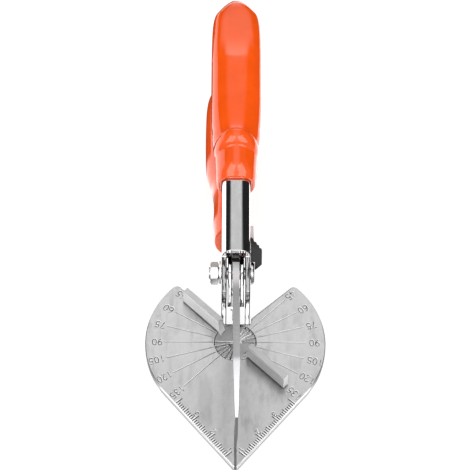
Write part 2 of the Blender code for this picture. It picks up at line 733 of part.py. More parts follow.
def stop_face():
    """Rear face of the blade's finger, which meets the stop pin when the jaws are open."""
    along = STOP_PIN_AT[0] - STOP_PIN_RADIUS - FIT_GAP
    turn = Matrix.Rotation(UPPER_RISE + OPEN_ANGLE, 2)
    high = turn @ Vector((along, STOP_PIN_AT[1] + STOP_FACE[1]))
    low = turn @ Vector((along, STOP_PIN_AT[1] - STOP_FACE[0]))
    return [tuple(high), tuple(low)]


def blade_outline():
    """Side outline of the blade at the pivot, with the jaws closed."""
    edge = -PIVOT_Z - EDGE_SINK
    heel = -BLADE_HEEL
    crest = (-BLADE_CREST_AT, edge + BLADE_CREST_HEIGHT)
    points = [(-BLADE_TIP, edge), (-BLADE_TIP, edge + BLADE_NOSE_HEIGHT), crest]
    points += arc((0, 0), BLADE_SPINE_AT_PIVOT, math.pi / 2, math.pi / 3, 2)
    points += stop_face()
    points += arc((0, 0), BLADE_SPINE_AT_PIVOT, math.pi / 12, -math.pi / 3, ARC_STEPS)
    points += [(heel + 0.5 * BLADE_TANG, -0.9 * BLADE_TANG), (heel, edge)]
    return points


def make_blade(jaw, finish):
    """Blade ground to an edge, thinner towards its nose."""
    half = BLADE_THICKNESS / 2
    edge = -PIVOT_Z - EDGE_SINK
    blade = add("blade", across(blade_outline(), -half, half), jaw, finish)
    past = half + FIT_GAP
    away = half + OVERRUN
    grind_slope = (half - BLADE_EDGE / 2) / BLADE_GRIND_HEIGHT
    taper_slope = (half - BLADE_NOSE_THICKNESS / 2) / (BLADE_TIP - BLADE_CREST_AT)
    low, high = edge - FIT_GAP, edge + BLADE_GRIND_HEIGHT + FIT_GAP / grind_slope
    front, rear = -BLADE_TIP - OVERRUN, -BLADE_CREST_AT + FIT_GAP / taper_slope
    section = [(BLADE_EDGE / 2 - grind_slope * FIT_GAP, low), (past, high)]
    section += [(away, high), (away, low)]
    plan = [(past, rear), (BLADE_NOSE_THICKNESS / 2 - taper_slope * OVERRUN, front)]
    plan += [(away, front), (away, rear)]
    for name, side in (("left", -1), ("right", 1)):
        grind = extruded(
            [(side * x, z) for x, z in section], front, -BLADE_GRIND_REAR,
            lambda a, b, depth: (a, depth, b),
        )
        cut(blade, add(f"grind_{name}", grind, jaw))
        taper = upright(
            [(side * x, y) for x, y in plan], low - OVERRUN, edge + BLADE_CREST_HEIGHT + OVERRUN
        )
        cut(blade, add(f"nose_taper_{name}", taper, jaw))
    reach = half + OVERRUN
    cut(blade, pin("blade_pivot_hole", BOLT_RADIUS + FIT_GAP, -reach, reach, jaw, (0, 0, 0)))
    rivet = BLADE_RIVET_RADIUS + FIT_GAP
    cut(blade, pin("blade_rivet_bore", rivet, -reach, reach, jaw, (0, *BLADE_RIVET_AT)))
    hole = BLADE_PIN_RADIUS + FIT_GAP
    cut(blade, pin("blade_pin_hole", hole, -reach, reach, jaw, (0, *BLADE_PIN_AT)))
    return blade


def make_blade_pins(jaw, finish):
    """The pin in the blade and the flush rivet through the cheeks."""
    half = BLADE_THICKNESS / 2
    soft = BLADE_PIN_RADIUS / 4
    low = -half - BLADE_PIN_PROUD
    high = half
    profile = (
        (BLADE_PIN_RADIUS - soft, low),
        (BLADE_PIN_RADIUS, low + soft),
        (BLADE_PIN_RADIUS, high),
    )
    add("blade_pin", along_x(turned(profile)), jaw, finish, (0, *BLADE_PIN_AT))
    reach = half + FIT_GAP + CHEEK_SHEET
    rivet = along_x(turned(((BLADE_RIVET_RADIUS, -reach), (BLADE_RIVET_RADIUS, reach))))
    add("blade_rivet", rivet, jaw, finish, (0, *BLADE_RIVET_AT))


def superellipse(half_width, top, bottom, count):
    """Points of a section whose upper and lower halves have heights of their own."""
    points = []
    for step in range(count):
        angle = 2 * math.pi * (step + 0.5) / count
        side, up = math.cos(angle), math.sin(angle)
        power = 2 / GRIP_SQUARENESS
        x = half_width * math.copysign(abs(side) ** power, side)
        height = (top if up > 0 else bottom) * abs(up) ** power
        points.append((x, math.copysign(height, up)))
    return points


def grip_shape(shares, start, length, half_width, top, bottom, offset):
    """Loft a grip along Y from its table of shares."""
    shape = bmesh.new()
    rings = []
    for along, wide, up, down in shares:
        middle = (up * top - down * bottom) / 2
        tall = (up * top + down * bottom) / 2
        section = superellipse(wide * half_width, tall, tall, GRIP_RINGS_ROUND)
        y = start + along * length
        rings.append([shape.verts.new((offset + x, y, middle + z)) for x, z in section])
    for low, high in zip(rings, rings[1:], strict=False):
        for step in range(GRIP_RINGS_ROUND):
            after = (step + 1) % GRIP_RINGS_ROUND
            shape.faces.new((low[step], low[after], high[after], high[step]))
    shape.faces.new(rings[0])
    shape.faces.new(rings[-1])
    return shape


def make_upper_grip(handle, finish):
    """Upper grip with its thumb hump, moulded round the upper frame."""
    shape = grip_shape(
        upper_grip_shares, UPPER_GRIP_START, UPPER_GRIP_LENGTH,
        UPPER_GRIP_HALF_WIDTH, UPPER_GRIP_TOP, UPPER_GRIP_BOTTOM, 0,
    )
    grip = add("upper_grip", shape, handle, finish)
    outer, _ = channel_section(
        CHANNEL_HALF_WIDTH + FIT_GAP, CHANNEL_SHEET, CHANNEL_ROOF + FIT_GAP,
        CHANNEL_SHOULDER, CHANNEL_BELOW + FIT_GAP,
    )
    pocket = extruded(
        outer, UPPER_GRIP_START - OVERRUN, CHANNEL_END + FIT_GAP,
        lambda a, b, depth: (a, depth, b),
    )
    cut(grip, add("upper_grip_pocket", pocket, handle))


def make_lower_grip(handle, finish, floor):
    """Lower grip, moulded round the lower frame, with a small flat that it rests on."""
    shape = grip_shape(
        lower_grip_shares, LOWER_GRIP_START, LOWER_GRIP_LENGTH,
        LOWER_GRIP_HALF_WIDTH, LOWER_GRIP_TOP, LOWER_GRIP_BOTTOM, LOWER_GRIP_OFFSET,
    )
    bmesh.ops.translate(shape, verts=shape.verts, vec=(0, 0, LOWER_GRIP_MIDDLE))
    grip = add("lower_grip", shape, handle, finish)
    wide = LOWER_HALF_WIDTH + FIT_GAP
    low = LOWER_TOP - LOWER_DEPTH - FIT_GAP
    pocket = box(
        (-wide, LOWER_GRIP_START - OVERRUN, low), (wide, LOWER_END + FIT_GAP, LOWER_TOP + FIT_GAP)
    )
    cut(grip, add("lower_grip_pocket", pocket, handle))
    cut(grip, floor)


def lower_handle_to_tool(along, up):
    """A point of the open lower handle's frame, as a (y, z) point of the tool's frame."""
    return handle_to_tool(along, up, LOWER_RISE - OPEN_ANGLE)


def rest_angle():
    """How far the tool leans forward when its table's tip and lower grip touch the ground."""
    leans = []
    for along, _, _, down in lower_grip_shares:
        y, z = lower_handle_to_tool(
            LOWER_GRIP_START + along * LOWER_GRIP_LENGTH,
            LOWER_GRIP_MIDDLE - down * LOWER_GRIP_BOTTOM + REST_FLAT_DEPTH,
        )
        leans.append(math.atan2(-TABLE_THICKNESS - z, y + TABLE_TIP))
    return max(leans)


def make_floor_cutter(root):
    """A hidden block under the ground, which cuts the lower grip's rest flat."""
    long = 2 * (TABLE_TIP + LOWER_GRIP_LENGTH)
    shape = box((-long, 0, -long), (long, long, 0))
    at = (0, -TABLE_TIP, -TABLE_THICKNESS)
    return add("ground", shape, root, None, at, (-rest_angle(), 0, 0))


def make_pivot(root, steel, bright):
    """Bolt, nut and washers of the main pivot."""
    wall = CHANNEL_HALF_WIDTH
    at = (0, PIVOT_Y, PIVOT_Z)
    head = wall + FIT_GAP
    crown = BOLT_HEAD_HEIGHT / 3
    tip = -(wall + 3 * FIT_GAP + WASHER_SHEET + NUT_HEIGHT + BOLT_TIP)
    profile = (
        (BOLT_RADIUS - BOLT_TIP / 2, tip),
        (BOLT_RADIUS, tip + BOLT_TIP / 2),
        (BOLT_RADIUS, head),
        (BOLT_HEAD_RADIUS, head),
        (BOLT_HEAD_RADIUS, head + BOLT_HEAD_HEIGHT - crown),
        (BOLT_HEAD_RADIUS - crown, head + BOLT_HEAD_HEIGHT),
    )
    bolt = add("pivot_bolt", along_x(turned(profile)), root, bright, at)
    socket_at = (head + BOLT_HEAD_HEIGHT - BOLT_SOCKET_DEPTH, PIVOT_Y, PIVOT_Z)
    socket = along_x(turned(((BOLT_SOCKET_RADIUS, 0), (BOLT_SOCKET_RADIUS, OVERRUN)), 6))
    cut(bolt, add("pivot_bolt_socket", socket, root, None, socket_at, smooth=False))
    hole = BOLT_RADIUS + FIT_GAP
    washer = along_x(ring_shape(hole, WASHER_RADIUS, WASHER_SHEET))
    washer_at = (-wall - FIT_GAP - WASHER_SHEET, PIVOT_Y, PIVOT_Z)
    add("pivot_washer", washer, root, steel, washer_at)
    corner = NUT_ACROSS_FLATS / math.sqrt(3)
    flat = corner - NUT_CHAMFER
    shape = turned(((corner, 0), (corner, NUT_HEIGHT)), 6)
    nut_at = (-(wall + 2 * FIT_GAP + WASHER_SHEET + NUT_HEIGHT), PIVOT_Y, PIVOT_Z)
    nut = add("pivot_nut", along_x(shape), root, bright, nut_at, smooth=False)
    rounding = turned((
        (flat, 0),
        (corner + FIT_GAP, NUT_CHAMFER),
        (corner + FIT_GAP, NUT_HEIGHT - NUT_CHAMFER),
        (flat, NUT_HEIGHT),
    ))
    trim(nut, add("nut_rounding", along_x(rounding), root, None, nut_at))
    cut(nut, pin("nut_hole", hole, -OVERRUN, NUT_HEIGHT + OVERRUN, root, nut_at))


def make_stop_pin(handle, finish):
    """Flush pin through the upper frame that stops the jaws from opening further."""
    reach = CHANNEL_HALF_WIDTH - FIT_GAP / 2
    stop = along_x(turned(((STOP_PIN_RADIUS, -reach), (STOP_PIN_RADIUS, reach))))
    add("stop_pin", stop, handle, finish, (0, *STOP_PIN_AT))


def spring_foot():
    """Where the spring's axis crosses the lower frame's floor, in the tool's frame."""
    foot = floor_line(CHEEK_SHEET, SPRING_FOOT_AT)[0]
    y, z = Matrix.Rotation(-OPEN_ANGLE, 2) @ Vector(foot)
    return PIVOT_Y + y, PIVOT_Z + z


def spring_height(lean):
    """Free space along the spring's axis, from the lower frame's floor to the roof inside."""
    y, z = spring_foot()
    rise = math.tan(UPPER_RISE)
    roof = (CHANNEL_ROOF - CHANNEL_SHEET) / math.cos(UPPER_RISE)
    gap = PIVOT_Z + roof + rise * (y - PIVOT_Y) - z
    return gap / (math.cos(lean) - rise * math.sin(lean))


def make_spring(stand, jaw_stand, height, steel, blued):
    """Upright return spring between two seats; it hangs on an empty at its foot."""
    low = SEAT_FLANGE
    high = height - SEAT_FLANGE
    first = low + FIT_GAP + SPRING_WIRE / 2
    last = high - FIT_GAP - SPRING_WIRE / 2
    count = SPRING_CURLS * SPRING_POINTS
    dead = SPRING_POINTS
    points = []
    for step in range(count + 1):
        turn = 2 * math.pi * step / SPRING_POINTS
        live = min(max(step - dead, 0), count - 2 * dead) / (count - 2 * dead)
        closed = min(step, dead) + max(step - (count - dead), 0)
        pitch = SPRING_WIRE + 2 * FIT_GAP
        z = first + pitch * closed / dead + (last - first - 2 * pitch) * live
        points.append((SPRING_RADIUS * math.cos(turn), SPRING_RADIUS * math.sin(turn), z))
    curve = bpy.data.curves.new("return_spring", "CURVE")
    curve.dimensions = "3D"
    curve.bevel_depth = SPRING_WIRE / 2
    curve.bevel_resolution = 1
    curve.use_fill_caps = True
    line = curve.splines.new("POLY")
    line.points.add(len(points) - 1)
    for point, place in zip(line.points, points, strict=True):
        point.co = (*place, 1)
    spring = bpy.data.objects.new("return_spring", curve)
    curve.materials.append(blued)
    bpy.context.scene.collection.objects.link(spring)
    spring.parent = stand
    gaps = [
        (Vector(one) - Vector(other)).length
        for place, one in enumerate(points)
        for other in points[place + SPRING_POINTS // 2:]
    ]
    print(f"return_spring least gap to itself {1000 * (min(gaps) - SPRING_WIRE):.2f} mm")
    post = SEAT_POST_RADIUS
    for name, parent, flange, tip, out in (
        ("spring_seat_lower", jaw_stand, low, low + SEAT_POST_HEIGHT, -OVERRUN),
        ("spring_seat_upper", stand, high, high - SEAT_POST_HEIGHT, height + OVERRUN),
    ):
        profile = ((SEAT_RADIUS, out), (SEAT_RADIUS, flange), (post, flange), (post, tip))
        yield add(name, turned(profile), parent, steel)


def make_spring_parts(root, jaw, handle, steel, blued):
    """Stand the spring and its seats upright on the ground and fit the seats to the frames."""
    lean = rest_angle()
    foot = spring_foot()
    stand = empty("spring_stand", root, (0, *foot), (-lean, 0, 0))
    height = spring_height(lean)
    lower, upper = make_spring(stand, stand, height, steel, blued)
    wide = SEAT_RADIUS + OVERRUN
    line = floor_line(CHEEK_SHEET + FIT_GAP, 0)
    low = LOWER_TOP - 2 * LOWER_DEPTH - OVERRUN
    line += [(LOWER_END + OVERRUN, low), (0, low)]
    floor = add("lower_floor_below", across(line, -wide, wide), jaw)
    cut(lower, floor)
    _, inner = channel_section(
        CHANNEL_HALF_WIDTH - FIT_GAP, CHANNEL_SHEET, CHANNEL_ROOF - FIT_GAP,
        CHANNEL_SHOULDER, 2 * LOWER_DEPTH,
    )
    room = extruded(inner, -PIVOT_Y, CHANNEL_END, lambda a, b, depth: (a, depth, b))
    trim(upper, add("upper_channel_room", room, handle))


def latch_polar(radius, angle):
    """A point at a distance and angle from the latch's axis."""
    return (radius * math.cos(angle), radius * math.sin(angle))


def latch_outline(grow=0.0):
    """Side outline of the locked latch plate about its axis: hub, arm and hook."""
    stud = Vector(LATCH_STUD_AT) - Vector(LATCH_AXIS_AT)
    reach = stud.length
    hold = math.atan2(stud.y, stud.x)
    throat = LATCH_STUD_RADIUS + FIT_GAP
    inner = reach + throat - grow
    outer = reach + throat + LATCH_HOOK_SHEET + grow
    back = hold + (throat - grow) / reach
    tip = hold - (LATCH_HOOK_HOLD + grow) / reach
    arm = back + (LATCH_ARM_WIDTH + 2 * grow) / reach
    hub = LATCH_HUB_RADIUS + grow
    points = arc((0, 0), hub, back + math.pi / 2, back + 1.5 * math.pi, 2 * ARC_STEPS)
    points += [latch_polar(hub, back - math.pi / 6), latch_polar(reach - throat, back)]
    points += [latch_polar(inner, back), latch_polar(inner, tip), latch_polar(outer, tip)]
    points += [latch_polar(outer, (back + arm) / 2), latch_polar(inner, arm)]
    return points


def latch_rest_turn():
    """The latch rests free of the stud."""
    return (LATCH_SWING, 0, 0)


def make_latch(root, axis, jaw, steel, black):
    """Latch plate, its black thumb cap, rivet, washer and the stud it catches."""
    inside = CHANNEL_HALF_WIDTH + FIT_GAP
    outside = inside + LATCH_SHEET
    plate = add("latch_plate", across(latch_outline(), inside, outside), axis, steel)
    hole = LATCH_RIVET_RADIUS + FIT_GAP
    cut(plate, pin("latch_bore", hole, 0, outside + OVERRUN, axis, (0, 0, 0)))
    cap_turn = (CAP_LEAN - LATCH_SWING, 0, 0)
    cap_axis = empty("latch_cap_axis", axis, (0, 0, 0), cap_turn)
    profile = [
        (along * CAP_LENGTH - CAP_FRONT, inside + out * CAP_THICKNESS)
        for along, out in cap_profile_shares
    ]
    shape = extruded(
        profile, -CAP_HALF_HEIGHT, CAP_HALF_HEIGHT, lambda a, b, depth: (b, a, depth)
    )
    cap = add("latch_cap", shape, cap_axis, black)
    front, back = -CAP_FRONT, CAP_LENGTH - CAP_FRONT
    round_at = CAP_HALF_HEIGHT - CAP_ROUND
    side = arc((back - CAP_HALF_HEIGHT, 0), CAP_HALF_HEIGHT, -math.pi / 2, math.pi / 2, ARC_STEPS)
    side += [(front + CAP_ROUND, CAP_HALF_HEIGHT), (front, round_at)]
    side += [(front, -round_at), (front + CAP_ROUND, -CAP_HALF_HEIGHT)]
    reach = outside + CAP_THICKNESS + OVERRUN
    trim(cap, add("latch_cap_outline", across(side, -OVERRUN, reach), cap_axis))
    over_head = CHANNEL_HALF_WIDTH + 2 * FIT_GAP + BOLT_HEAD_HEIGHT
    clear = box(
        (-OVERRUN, front - OVERRUN, -CAP_HALF_HEIGHT - OVERRUN),
        (over_head, -CAP_FOOT, CAP_HALF_HEIGHT + OVERRUN),
    )
    cut(cap, add("latch_cap_step", clear, cap_axis))
    centre = (0, 0, 0)
    head = outside + FIT_GAP
    slot = across(latch_outline(FIT_GAP), -OVERRUN, head)
    cut(cap, add("latch_cap_slot", slot, axis))
    head_top = head + LATCH_RIVET_HEAD_HEIGHT
    room = LATCH_RIVET_HEAD + FIT_GAP
    cut(cap, pin("latch_cap_pocket", room, -OVERRUN, head_top + FIT_GAP, axis, centre))
    place = (0, PIVOT_Y + LATCH_AXIS_AT[0], PIVOT_Z + LATCH_AXIS_AT[1])
    wall = CHANNEL_HALF_WIDTH - CHANNEL_SHEET
    profile = (
        (LATCH_RIVET_RADIUS, wall),
        (LATCH_RIVET_RADIUS, head),
        (LATCH_RIVET_HEAD, head),
        (LATCH_RIVET_HEAD, head_top),
    )
    add("latch_rivet", along_x(turned(profile)), root, steel, place)
    stud_in = LOWER_HALF_WIDTH - CHEEK_SHEET
    profile = ((LATCH_STUD_RADIUS, stud_in), (LATCH_STUD_RADIUS, outside + FIT_GAP))
    add("latch_stud", along_x(turned(profile)), jaw, steel, (0, *LATCH_STUD_AT))


def stand_on_ground(root):
    """Move the whole tool so that it stands on Z = 0 with its plan centred on the origin."""
    bpy.context.view_layer.update()
    graph = bpy.context.evaluated_depsgraph_get()
    corners = []
    for item in bpy.context.scene.objects:
        if item.type in {"MESH", "CURVE"} and not item.hide_render:
            shown = item.evaluated_get(graph)
            mesh = shown.to_mesh()
            corners += [shown.matrix_world @ vertex.co for vertex in mesh.vertices]
            shown.to_mesh_clear()
    low = [min(corner[axis] for corner in corners) for axis in range(3)]
    high = [max(corner[axis] for corner in corners) for axis in range(3)]
    root.location = (-(low[0] + high[0]) / 2, -(low[1] + high[1]) / 2, -low[2])
    bpy.context.view_layer.update()


def print_places(*axes):
    """Print each joint's place and direction in the world, for the record."""
    for item, direction in axes:
        place = [round(value, 5) for value in item.matrix_world.translation]
        aim = [round(value, 5) for value in item.matrix_world.to_3x3() @ Vector(direction)]
        print(f"{item.name} at {place} along {aim}")


def main():
    """Build the shears."""
    clear_scene()
    chrome = material("chrome", (0.80, 0.80, 0.82), 0.12, 1.0)
    plate = material("brushed_plate", (0.62, 0.62, 0.63), 0.35, 1.0)
    cast = material("fence_steel", (0.60, 0.60, 0.61), 0.40, 1.0)
    edge = material("blade_steel", (0.66, 0.67, 0.69), 0.22, 1.0)
    steel = material("zinc_steel", (0.68, 0.68, 0.67), 0.30, 1.0)
    blued = material("spring_steel", (0.45, 0.45, 0.47), 0.35, 1.0)
    orange = material("orange_grip", (0.93, 0.13, 0.02), 0.30, 0.0)
    black = material("black_cap", (0.03, 0.03, 0.03), 0.45, 0.0)

    root = empty("shears", None, (0, 0, 0), (rest_angle(), 0, 0))
    pivot = (0, PIVOT_Y, PIVOT_Z)
    handle = empty("upper_handle_axis", root, pivot, (UPPER_RISE, 0, 0))
    jaw = empty("blade_jaw_axis", root, pivot, (-OPEN_ANGLE, 0, 0))
    lower_handle = empty("lower_handle_axis", jaw, (0, 0, 0), (LOWER_RISE, 0, 0))
    fence_axis = empty("fence_axis", root, (0, 0, 0), (0, 0, -FENCE_FIRST))
    latch_at = (0, PIVOT_Y + LATCH_AXIS_AT[0], PIVOT_Z + LATCH_AXIS_AT[1])
    latch_axis = empty("latch_axis", root, latch_at, latch_rest_turn())

    make_upper_frame(root, handle, chrome)
    make_table(root, plate)
    make_table_screws(root, steel)
    make_fence(fence_axis, cast)
    make_fence_screw(fence_axis, root, steel)
    make_lower_frame(jaw, chrome)
    make_blade(jaw, edge)
    make_blade_pins(jaw, steel)
    make_upper_grip(handle, orange)
    make_lower_grip(lower_handle, orange, make_floor_cutter(root))
    make_pivot(root, steel, chrome)
    make_stop_pin(handle, steel)
    make_spring_parts(root, jaw, handle, steel, blued)
    make_latch(root, latch_axis, jaw, steel, black)
    stand_on_ground(root)
    print_places(
        (jaw, (1, 0, 0)), (fence_axis, (0, 0, 1)), (latch_axis, (1, 0, 0)), (root, (0, 0, 1))
    )


main()
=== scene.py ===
"""Looks of the mitre shears: finishes, etched marks, moulded grips, spring, studio and camera.

The tool's frame has X across, Y towards the handles and Z up from the table's face, and its zero
is where the fence's axis meets that face. It and the two handles' frames differ from the world
only by a place and a pitch about X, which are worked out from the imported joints. Sizes are in
metres, apart from those of layers and zones in the materials, which are in millimetres.
"""

import json
import logging
import math
from collections.abc import Callable
from dataclasses import dataclass, replace
from enum import Enum, auto

import bpy
import numpy as np
from mathutils import Matrix, Vector

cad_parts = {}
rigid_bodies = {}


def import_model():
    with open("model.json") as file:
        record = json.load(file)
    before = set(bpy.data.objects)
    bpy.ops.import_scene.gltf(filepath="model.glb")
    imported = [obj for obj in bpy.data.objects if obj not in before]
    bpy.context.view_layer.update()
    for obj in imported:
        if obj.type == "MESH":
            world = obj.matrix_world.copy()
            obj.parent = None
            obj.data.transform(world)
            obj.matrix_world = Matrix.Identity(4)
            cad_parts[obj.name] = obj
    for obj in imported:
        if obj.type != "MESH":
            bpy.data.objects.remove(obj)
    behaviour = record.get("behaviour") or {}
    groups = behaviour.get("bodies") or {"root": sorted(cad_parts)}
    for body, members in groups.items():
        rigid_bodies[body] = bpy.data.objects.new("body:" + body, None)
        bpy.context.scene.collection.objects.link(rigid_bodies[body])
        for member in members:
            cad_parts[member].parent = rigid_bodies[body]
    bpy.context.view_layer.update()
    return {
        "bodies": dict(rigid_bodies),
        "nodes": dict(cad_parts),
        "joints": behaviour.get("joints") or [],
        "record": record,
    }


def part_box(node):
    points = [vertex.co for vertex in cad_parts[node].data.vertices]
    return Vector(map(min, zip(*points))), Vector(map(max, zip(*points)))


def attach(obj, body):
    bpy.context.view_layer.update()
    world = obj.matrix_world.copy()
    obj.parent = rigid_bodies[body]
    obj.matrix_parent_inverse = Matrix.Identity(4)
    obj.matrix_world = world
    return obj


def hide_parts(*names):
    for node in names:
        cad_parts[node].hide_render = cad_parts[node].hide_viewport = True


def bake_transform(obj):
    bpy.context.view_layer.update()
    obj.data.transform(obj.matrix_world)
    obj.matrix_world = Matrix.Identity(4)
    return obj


log = logging.getLogger("mitre_shears")

MM = 0.001
TABLE_TIP = 0.05527  # where the face's front edges meet, ahead of the fence's axis
TABLE_RADIUS = 0.0357
FRONT_ANGLE = math.radians(40.0)  # between each front edge and Y
UPPER_RISE = math.radians(12.0)  # of the upper handle, from the table's face
LOWER_RISE = math.radians(-10.0)  # of the open lower handle
SHARP_FROM = math.radians(32.0)  # angle between two faces whose edge stays sharp
MERGE = 0.002 * MM
BEVEL_SAMPLES = 6
WORN = (0.01, 0.2)  # bend of an edge's normal where wear begins, and where it is whole
FINE_EDGE = 0.00018
CHROME = (0.76, 0.76, 0.765)

Colour = tuple[float, float, float]
Triple = tuple[float, float, float]
Span = tuple[float, float]


# ---- frames -------------------------------------------------------------------------------------


@dataclass(frozen=True)
class PitchedFrame:
    """A frame with a place in the world and a pitch about X.

    Attributes:
        origin: Where its zero is, in world metres.
        pitch: How far its Y axis rises from the ground, in radians.
    """

    origin: Vector = Vector((0, 0, 0))
    pitch: float = 0.0

    def to_world(self, points: np.ndarray) -> np.ndarray:
        """Turn points about X by the pitch and move them to the origin.

        Args:
            points: Points of this frame, with X, Y and Z along the last axis.

        Returns:
            The same points in the world.
        """
        turn = np.array(Matrix.Rotation(self.pitch, 3, "X"))
        return points @ turn.T + np.array(self.origin)

    def matrix(self) -> Matrix:
        """The frame as a matrix from its own points to the world's."""
        return Matrix.Translation(self.origin) @ Matrix.Rotation(self.pitch, 4, "X")

    def risen(self, origin: Vector, rise: float) -> "PitchedFrame":
        """A frame at another place, pitched from this one by rise radians."""
        return PitchedFrame(origin, self.pitch + rise)


class ToolFrames:
    """The frames of the table and of the two handles."""

    def __init__(self, joints: list[dict]) -> None:
        """Work the frames out from the joints.

        Args:
            joints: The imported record's joints.
        """
        by_name = {joint["name"]: joint for joint in joints}
        swing, pivot = by_name["fence_swing"], Vector(by_name["squeeze"]["pos_m"])
        up = Vector(swing["axis"])
        self.table = PitchedFrame(Vector(swing["pos_m"]), math.atan2(-up.y, up.z))
        self.upper_handle = self.table.risen(pivot, UPPER_RISE)
        self.lower_handle = self.table.risen(pivot, LOWER_RISE)


# ---- meshes -------------------------------------------------------------------------------------


class MeshBuffer:
    """Collects tubes and makes one mesh object of them."""

    def __init__(self) -> None:
        """Start with no points and no faces."""
        self.points: list[np.ndarray] = []
        self.faces: list[tuple[int, ...]] = []
        self.count = 0

    def add_tube(self, rings: np.ndarray) -> None:
        """Skin a grid of rings with quads and close both ends with a fan to the ring's middle.

        Args:
            rings: Array of rings by points by 3; each ring closes on itself.
        """
        rows, columns, _ = rings.shape
        grid = self.count + np.arange(rows * columns).reshape(rows, columns)
        after = np.roll(grid, -1, axis=1)
        quads = np.stack([grid[:-1], after[:-1], after[1:], grid[1:]], axis=-1).reshape(-1, 4)
        start = self.count + rows * columns
        middles = rings[[0, -1]].mean(axis=1)
        first = np.stack([after[0], grid[0], np.full(columns, start)], axis=-1)
        last = np.stack([grid[-1], after[-1], np.full(columns, start + 1)], axis=-1)
        inside_out = self.volume(rings, middles) < 0
        for block in (quads, first, last):
            self.faces.extend(map(tuple, block[:, ::-1] if inside_out else block))
        self.points.append(np.vstack([rings.reshape(-1, 3), middles]))
        self.count = start + 2

    @staticmethod
    def volume(rings: np.ndarray, middles: np.ndarray) -> float:
        """Signed volume of a tube: a sixth of the triple products of its faces' corners.

        Args:
            rings: The tube's rings.
            middles: The two points that close its ends.

        Returns:
            The volume, above zero where the faces point outwards.
        """
        after = np.roll(rings, -1, axis=1)
        total = np.einsum("ijk,ijk->", rings[:-1], np.cross(after[:-1], after[1:]))
        total += np.einsum("ijk,ijk->", rings[:-1], np.cross(after[1:], rings[1:]))
        total += np.einsum("jk,jk->", after[0], np.cross(rings[0], middles[0]))
        total += np.einsum("jk,jk->", rings[-1], np.cross(after[-1], middles[1]))
        return float(total) / 6

    def make(self, name: str, material: bpy.types.Material) -> bpy.types.Object:
        """Put the collected faces into a new smooth object at the origin, and dress it.

        Args:
            name: The piece's name.
            material: Its material.

        Returns:
            The new object.
        """
        mesh = bpy.data.meshes.new(name)
        mesh.from_pydata(np.vstack(self.points).tolist(), [], self.faces)
        mesh.polygons.foreach_set("use_smooth", np.full(len(mesh.polygons), True))
        mesh.update()
        piece = linked(name, mesh)
        dress(piece, material)
        log.info("piece %s: %d faces", name, len(mesh.polygons))
        return piece


def linked(name: str, data: bpy.types.ID) -> bpy.types.Object:
    """Put a new object into the scene.

    Args:
        name: Its name.
        data: Its mesh, lamp or camera.

    Returns:
        The object.
    """
    made = bpy.data.objects.new(name, data)
    bpy.context.scene.collection.objects.link(made)
    return made


def dress(piece: bpy.types.Object, material: bpy.types.Material) -> None:
    """Give a piece one material in place of what it had."""
    piece.data.materials.clear()
    piece.data.materials.append(material)


def eased_curve(table: np.ndarray, steps: int) -> np.ndarray:
    """Carry a smooth curve through the rows of a table, by distance along it.

    Between two rows it is the cubic whose slope at each row is the harmonic mean of the slopes on
    both sides, and zero where they differ in sign, so it never overshoots a row.

    Args:
        table: Rows of values.
        steps: How many rows to return.

    Returns:
        The rows of the curve, evenly spaced by distance.
    """
    spans = np.linalg.norm(np.diff(table, axis=0), axis=1)
    knots = np.concatenate([[0.0], np.cumsum(spans)])
    slopes = np.diff(table, axis=0) / spans[:, None]
    before, behind = slopes[:-1], slopes[1:]
    same = before * behind > 0
    both = np.where(same, before + behind, 1.0)
    middle = np.where(same, 2 * before * behind / both, 0.0)
    tangents = np.vstack([slopes[:1], middle, slopes[-1:]])
    at = np.linspace(0, knots[-1], steps)
    row = np.clip(np.searchsorted(knots, at, side="right") - 1, 0, len(spans) - 1)
    width = spans[row][:, None]
    share = ((at - knots[row]) / spans[row])[:, None]
    square, cube = share**2, share**3
    return (
        (2 * cube - 3 * square + 1) * table[row]
        + (cube - 2 * square + share) * width * tangents[row]
        + (3 * square - 2 * cube) * table[row + 1]
        + (cube - square) * width * tangents[row + 1]
    )


# ---- node graphs --------------------------------------------------------------------------------


class Signal:
    """A number, vector or colour in a graph; arithmetic on it adds Math nodes."""

    def __init__(self, graph: "Graph", socket: bpy.types.NodeSocket) -> None:
        """Keep the output socket and the graph that holds it."""
        self.graph = graph
        self.socket = socket

    def __add__(self, other: "Signal | float") -> "Signal":
        """Sum."""
        return self.graph.maths("ADD", self, other)

    def __radd__(self, other: float) -> "Signal":
        """Sum, with the number first."""
        return self.graph.maths("ADD", other, self)

    def __sub__(self, other: "Signal | float") -> "Signal":
        """Difference."""
        return self.graph.maths("SUBTRACT", self, other)

    def __rsub__(self, other: float) -> "Signal":
        """Difference, with the number first."""
        return self.graph.maths("SUBTRACT", other, self)

    def __mul__(self, other: "Signal | float") -> "Signal":
        """Product."""
        return self.graph.maths("MULTIPLY", self, other)

    def __rmul__(self, other: float) -> "Signal":
        """Product, with the number first."""
        return self.graph.maths("MULTIPLY", other, self)

    def __truediv__(self, other: "Signal | float") -> "Signal":
        """Quotient."""
        return self.graph.maths("DIVIDE", self, other)

    def __abs__(self) -> "Signal":
        """Size without sign."""
        return self.graph.maths("ABSOLUTE", self)

    def rises(self, low: float, high: float) -> "Signal":
        """Goes smoothly from zero to one.

        Args:
            low: Value up to which it is zero.
            high: Value from which it is one, which may be the smaller of the two.

        Returns:
            The eased share.
        """
        inputs = {"Value": self, "From Min": low, "From Max": high}
        smooth = {"interpolation_type": "SMOOTHSTEP"}
        return self.graph.read("ShaderNodeMapRange", smooth, inputs)

    def within(self, span: Span | None) -> "Signal":
        """The same as rises between the span's two numbers, or the plain value without a span."""
        return self.rises(*span) if span else self


